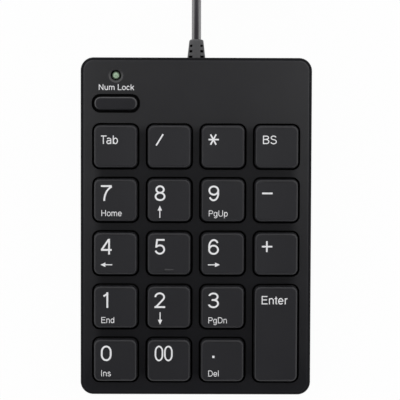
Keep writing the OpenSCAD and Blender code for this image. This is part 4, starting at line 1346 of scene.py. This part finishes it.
class KEYPAD_OT_lamp(bpy.types.Operator):
    """Model the status light: a domed lens with a flange, on two leads"""

    bl_idname = "keypad.lamp"
    bl_label = "Status Light"

    def execute(self, context):
        low, high = deck_box("status_light")
        flange_foot, flange_top, wire, spacing = mm(-5.3, -4.3, 0.25, 1.27)
        lens = rod("lamp_lens", LENS_RADIUS, flange_top, 0.0, sides=40)
        bevel(lens, on_top, LENS_RADIUS * 0.985, 9)
        choose(lens, "FACE", at_level(flange_top))
        extrude(0.0)
        widen(1.27, 1.27)
        extrude(flange_foot - flange_top)
        smooth(lens)
        settle(lens, lamp_place())
        dress(lens, "lamp_lens", "lamp_plastic", "case", "status_light")
        leads = []
        for side in (-1, 1):
            lead = rod("lead", wire, low.z - high.z, flange_foot + 0.1 * MM, (side * spacing, 0.0), 12)
            bevel(lead, at_level(low.z - high.z), 0.08 * MM, 2)
            leads.append(lead)
        hold(*leads)
        bpy.ops.object.join()
        pair = rename(leads[0], "lamp_leads")
        smooth(pair)
        settle(pair, lamp_place())
        dress(pair, "screw_steel", "screw_steel", "case", "status_light")
        return {"FINISHED"}


# Cord

# Where the cord leaves the strain relief, goes into its coil, leaves it and goes into the plug
CORD_EXIT = Vector((0.0, 0.0671553, 0.0093703))
COIL_START = Vector((0.0, 0.110675, 0.0026))
COIL_FINISH = Vector((0.0, 0.117475, 0.0065))
PLUG_START = Vector((0.0, 0.130075, 0.004))
COIL_MIDDLE = Vector((0.027325, 0.114075))
TURN_POINTS = 24


def ease(t):
    t = min(1.0, max(0.0, t))
    return t * t * (3 - 2 * t)


def sinking(start, end, rise, steps):
    """Points of a stretch of cord that leaves one point at a given rise and settles level at another."""
    points = []
    for i in range(steps + 1):
        t = i / steps
        swell = t * (1 - t) * (1 - t) * (end.y - start.y) * rise
        points.append(start + Vector((0.0, t * (end.y - start.y), ease(t) * (end.z - start.z) + swell)))
    return points


def coil_point(turn):
    """A point of the coil, which winds in on the lower layer, climbs, and winds out on the upper one."""
    form = settings().cord
    layer = form.turns / 2
    angle = math.pi - math.tau * turn
    radius = form.middle / 2 - form.step * layer / 2 + form.step * abs(turn - layer)
    climb = ease((turn - layer) * 2 + 0.5)
    level = form.lift + form.diameter / 2 + form.step * climb
    flat = COIL_MIDDLE + radius * Vector((math.cos(angle), math.sin(angle)))
    return Vector((flat.x, flat.y, level))


def cord_route():
    """The cord's middle line from the strain relief through the coil to the plug."""
    lead = sinking(CORD_EXIT, COIL_START, math.tan(SLOPE), 14)
    coil = [coil_point(i / TURN_POINTS) for i in range(TURN_POINTS * settings().cord.turns + 1)]
    return lead + coil + sinking(COIL_FINISH, PLUG_START, 0.0, 6)


def tie_strap():
    """A strap of woven tape round the coil, with its end lapped over itself."""
    low, high = (Vector(corner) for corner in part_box("cord_tie"))
    tape, bend, lap_short, sunk, lap_edge = mm(0.7, 2.2, 7.4, 0.1, 0.25)
    band_high = Vector((high.x, high.y, high.z - tape))
    strap = block("strap_band", band_high - low, (low + band_high) / 2)
    bevel(strap, along(0), bend, 6)
    for side in (low.x, high.x):
        take_out(strap, at(0, side))
    thicken(strap, tape)
    middle = (low + high) / 2
    extent = (high.x - low.x, high.y - low.y - lap_short, tape + sunk)
    lap = block("lap", extent, (middle.x, middle.y, high.z - (tape + sunk) / 2))
    bevel(lap, at_level(high.z), lap_edge, 3)
    weld(strap, lap)
    smooth(strap)
    dress(strap, "strap_tape", "cord_jacket", "case", "cord_tie")
    return strap


def plug_neck(length):
    """The grip's tapered neck, which stands on level 0, with three rings."""
    radius, ring_radius, growth, pitch, ring_height, ring_edge = mm(2.2, 2.55, 0.08, 2.9, 1.1, 0.3)
    neck = rod("neck", radius, 0.0, length)
    choose(neck, "VERT", lambda corner: corner[0].z > NEAR)
    widen(1.13, 1.13)
    for step in range(3):
        foot = step * pitch
        ring = rod("ring", ring_radius + step * growth, foot, foot + ring_height)
        bevel(ring, lambda ends: abs(ends[0].z - ends[1].z) < NEAR, ring_edge, 3)
        weld(neck, ring)
    return neck


def plug_grip():
    """The plug's moulded grip: a rounded block with a thumb hollow, side grooves and a ringed neck."""
    low, high = (Vector(corner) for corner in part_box("plug_grip"))
    neck_length, neck_root, corner, end_edge = mm(8.0, 0.5, 2.0, 0.7)
    border, slope, hollow = mm(1.5, 0.3, 0.25)
    first_groove, groove_pitch = mm(7.0, 2.0)
    groove_extent = mm(0.7, 0.8, 4.6)
    body_low = Vector((low.x, low.y + neck_length, low.z))
    centre = (body_low + high) / 2
    grip = block("grip_moulding", high - body_low, (0.0, centre.y, centre.z))
    bevel(grip, along(1), corner, 6)
    for end in (body_low.y, high.y):
        bevel(grip, at(1, end), end_edge, 4)
    for level, way in ((high.z, -1), (low.z, 1)):
        choose(grip, "FACE", at_level(level))
        bpy.ops.mesh.inset(thickness=border)
        bpy.ops.mesh.inset(thickness=slope)
        bpy.ops.transform.translate(value=(0.0, 0.0, way * hollow))
        let_go()
    for side in (low.x, high.x):
        for step in range(5):
            place = (side, body_low.y + first_groove + step * groove_pitch, centre.z)
            weld(grip, block("groove", groove_extent, place), "DIFFERENCE")
    neck = plug_neck(neck_length + neck_root)
    settle(neck, Matrix.Translation((0.0, low.y, centre.z)) @ Matrix.Rotation(-math.pi / 2, 4, "X"))
    weld(grip, neck)
    smooth(grip)
    dress(grip, "grip_plastic", "plug_plastic", "case", "plug_grip")
    return grip


class KEYPAD_OT_cord(bpy.types.Operator):
    """Lay the cord through its coil to the plug, with its strap and the plug's grip"""

    bl_idname = "keypad.cord"
    bl_label = "Cord and Plug"

    def execute(self, context):
        form = settings().cord
        route = cord_route()
        line = bpy.data.curves.new("cord", "CURVE")
        line.dimensions = "3D"
        line.bevel_depth = form.diameter / 2
        line.bevel_resolution = 5
        line.resolution_u = 3
        line.use_fill_caps = True
        spline = line.splines.new("BEZIER")
        spline.bezier_points.add(len(route) - 1)
        for point, place in zip(spline.bezier_points, route):
            point.co = place
            point.handle_left_type = point.handle_right_type = "AUTO"
        cord = bpy.data.objects.new("cord", line)
        context.scene.collection.objects.link(cord)
        dress(cord, "cord_jacket", "cord_jacket", "case", "cord_lead", "cord_coil", "cord_tail")
        nodes = ["strain_relief", "plug_shell", "plug_tongue", "plug_contacts"]
        [tie_strap(), plug_grip()] + [frame["nodes"][node] for node in nodes]
        return {"FINISHED"}


# Pieces whose construction shape is right as it is

NODE_FINISHES = {
    "top_cover": "deck_plastic",
    "bottom_cover": "case_plastic",
    "rubber_feet": "foot_rubber",
    "guide_plate": "guide_plastic",
    "enter_stabilizer": "screw_steel",
    "upper_film": "contact_film",
    "spacer_film": "contact_film",
    "lower_film": "contact_film",
    "backing_plate": "sheet_steel",
    "controller_board": "board_laminate",
    "controller_chip": "chip_plastic",
    "quartz_crystal": "plug_steel",
    "filter_capacitor": "chip_plastic",
    "tail_clamp": "sheet_steel",
    "board_screws": "screw_steel",
    "case_screws": "screw_steel",
    "wire_connector": "connector_plastic",
    "signal_wires": "wire_insulation",
    "cord_stub": "cord_jacket",
    "strain_relief": "windowed_rubber",
    "plug_shell": "plug_steel",
    "plug_tongue": "tongue_plastic",
    "plug_contacts": "contact_metal",
}


class KEYPAD_OT_finishes(bpy.types.Operator):
    """Give the covers and the inner pieces their finishes"""

    bl_idname = "keypad.finishes"
    bl_label = "Covers and Inner Pieces"

    def execute(self, context):
        for node, finish in NODE_FINISHES.items():
            for slot in frame["nodes"][node].material_slots:
                slot.material = finish_for(finish)
        return {"FINISHED"}


# Stage

WHITE = (1.0, 1.0, 1.0, 1.0)
CAMERA_PLACE = (-0.00207, -0.004608, 0.575954)
CAMERA_DEGREES = (1.38066817, -0.36283685, 0.1685319)
CAMERA_LENS = 141.216


def backdrop_paper():
    """White paper that shows as white to the camera and in reflections, and keeps a soft shadow."""
    paper = bpy.data.materials.new("backdrop_paper")
    paper.use_nodes = True
    graph = Graph(paper.node_tree)
    graph.nodes.clear()
    rays = graph.outputs(graph.add("ShaderNodeLightPath"))
    seen = rays["Is Camera Ray"] + rays["Is Glossy Ray"] + rays["Is Transmission Ray"]
    fibre = graph.add("ShaderNodeTexNoise", None, {"Scale": 900.0, "Detail": 3.0})
    matt = graph.add("ShaderNodeBsdfDiffuse", None, {"Color": graph.tint(fibre, WHITE, 0.78, 0.82)})
    white = graph.add("ShaderNodeEmission", None, {"Color": WHITE, "Strength": 1.0})
    mixed = graph.add("ShaderNodeMixShader", None, {0: 0.97 * seen, 1: matt, 2: white})
    graph.add("ShaderNodeOutputMaterial", None, {"Surface": mixed})
    return paper


def studio_world():
    """Studio surroundings: white walls under a dim ceiling, darker in front, and white wherever they show."""
    world = bpy.data.worlds.new("studio")
    world.use_nodes = True
    graph = Graph(world.node_tree)
    graph.nodes.clear()
    seen = graph.outputs(graph.add("ShaderNodeLightPath"))["Is Camera Ray"]
    _, depth, height = graph.axes(graph.add("ShaderNodeTexCoord", output="Generated"))
    walls = graph.ramp(height, 0.75, 0.5)
    lit = graph.ramp(depth, -0.75, -0.1, 0.65)
    strength = seen + (1 - seen) * (0.08 + 1.65 * walls * lit)
    glow = graph.add("ShaderNodeBackground", None, {"Color": WHITE, "Strength": strength})
    graph.add("ShaderNodeOutputWorld", None, {"Surface": glow})
    return world


def softbox(name, x, power):
    """A soft light over the keypad, which shines straight down."""
    let_go()
    bpy.ops.object.light_add(type="AREA", location=(x, 0.35, 0.9))
    lamp = rename(bpy.context.object, name)
    lamp.data.shape = "RECTANGLE"
    lamp.data.size, lamp.data.size_y = 0.46, 0.9
    lamp.data.energy = power


class KEYPAD_OT_camera(bpy.types.Operator):
    """Set the camera over the keypad"""

    bl_idname = "keypad.camera"
    bl_label = "Camera"

    def execute(self, context):
        let_go()
        turn = [math.radians(degrees) for degrees in CAMERA_DEGREES]
        bpy.ops.object.camera_add(location=CAMERA_PLACE, rotation=turn)
        camera = bpy.context.object
        camera.name = "camera"
        camera.data.sensor_width = 36.0
        camera.data.lens = CAMERA_LENS
        camera.data.clip_start = 0.01
        context.scene.camera = camera
        return {"FINISHED"}


class KEYPAD_OT_stage(bpy.types.Operator):
    """Set up the floor, the soft lights and the surroundings"""

    bl_idname = "keypad.stage"
    bl_label = "Stage"

    def execute(self, context):
        scene = context.scene
        scene.view_settings.view_transform = "Standard"
        scene.world = studio_world()
        let_go()
        bpy.ops.mesh.primitive_plane_add(size=6.0)
        floor = rename(bpy.context.object, "floor")
        settle(floor, Matrix.Translation((0.0, 0.0, -0.1 * MM)))
        floor.data.materials.append(backdrop_paper())
        softbox("left_softbox", -0.33, 1.62)
        softbox("right_softbox", 0.33, 1.84)
        return {"FINISHED"}


STEPS = (
    KEYPAD_OT_camera,
    KEYPAD_OT_cord,
    KEYPAD_OT_finishes,
    KEYPAD_OT_main_keys,
    KEYPAD_OT_enter_key,
    KEYPAD_OT_lock_key,
    KEYPAD_OT_domes,
    KEYPAD_OT_legends,
    KEYPAD_OT_deck_label,
    KEYPAD_OT_lamp,
    KEYPAD_OT_stage,
)


class KEYPAD_PT_panel(bpy.types.Panel):
    """Lists the steps that make the keypad, and what can be set"""

    bl_idname = "KEYPAD_PT_panel"
    bl_label = "Numeric Keypad"
    bl_space_type = "VIEW_3D"
    bl_region_type = "UI"
    bl_category = "Keypad"

    def draw(self, context):
        column = self.layout.column(align=True)
        for step in STEPS:
            column.operator(step.bl_idname)
        for part in KeypadSettings.__annotations__:
            group = getattr(settings(), part)
            box = self.layout.box()
            for name in group.__annotations__:
                box.prop(group, name)


GROUPS = (KeypadKeySizes, KeypadDomeSizes, KeypadPrint, KeypadCord, KeypadColours, KeypadSettings)
CLASSES = (*GROUPS, *STEPS, KEYPAD_PT_panel)


def register():
    for cls in CLASSES:
        bpy.utils.register_class(cls)
    bpy.types.Scene.keypad = PointerProperty(type=KeypadSettings)


def unregister():
    del bpy.types.Scene.keypad
    for cls in reversed(CLASSES):
        bpy.utils.unregister_class(cls)


def main():
    register()
    for step in STEPS:
        family, name = step.bl_idname.split(".")
        getattr(getattr(bpy.ops, family), name)()


if __name__ == "__main__":
    main()
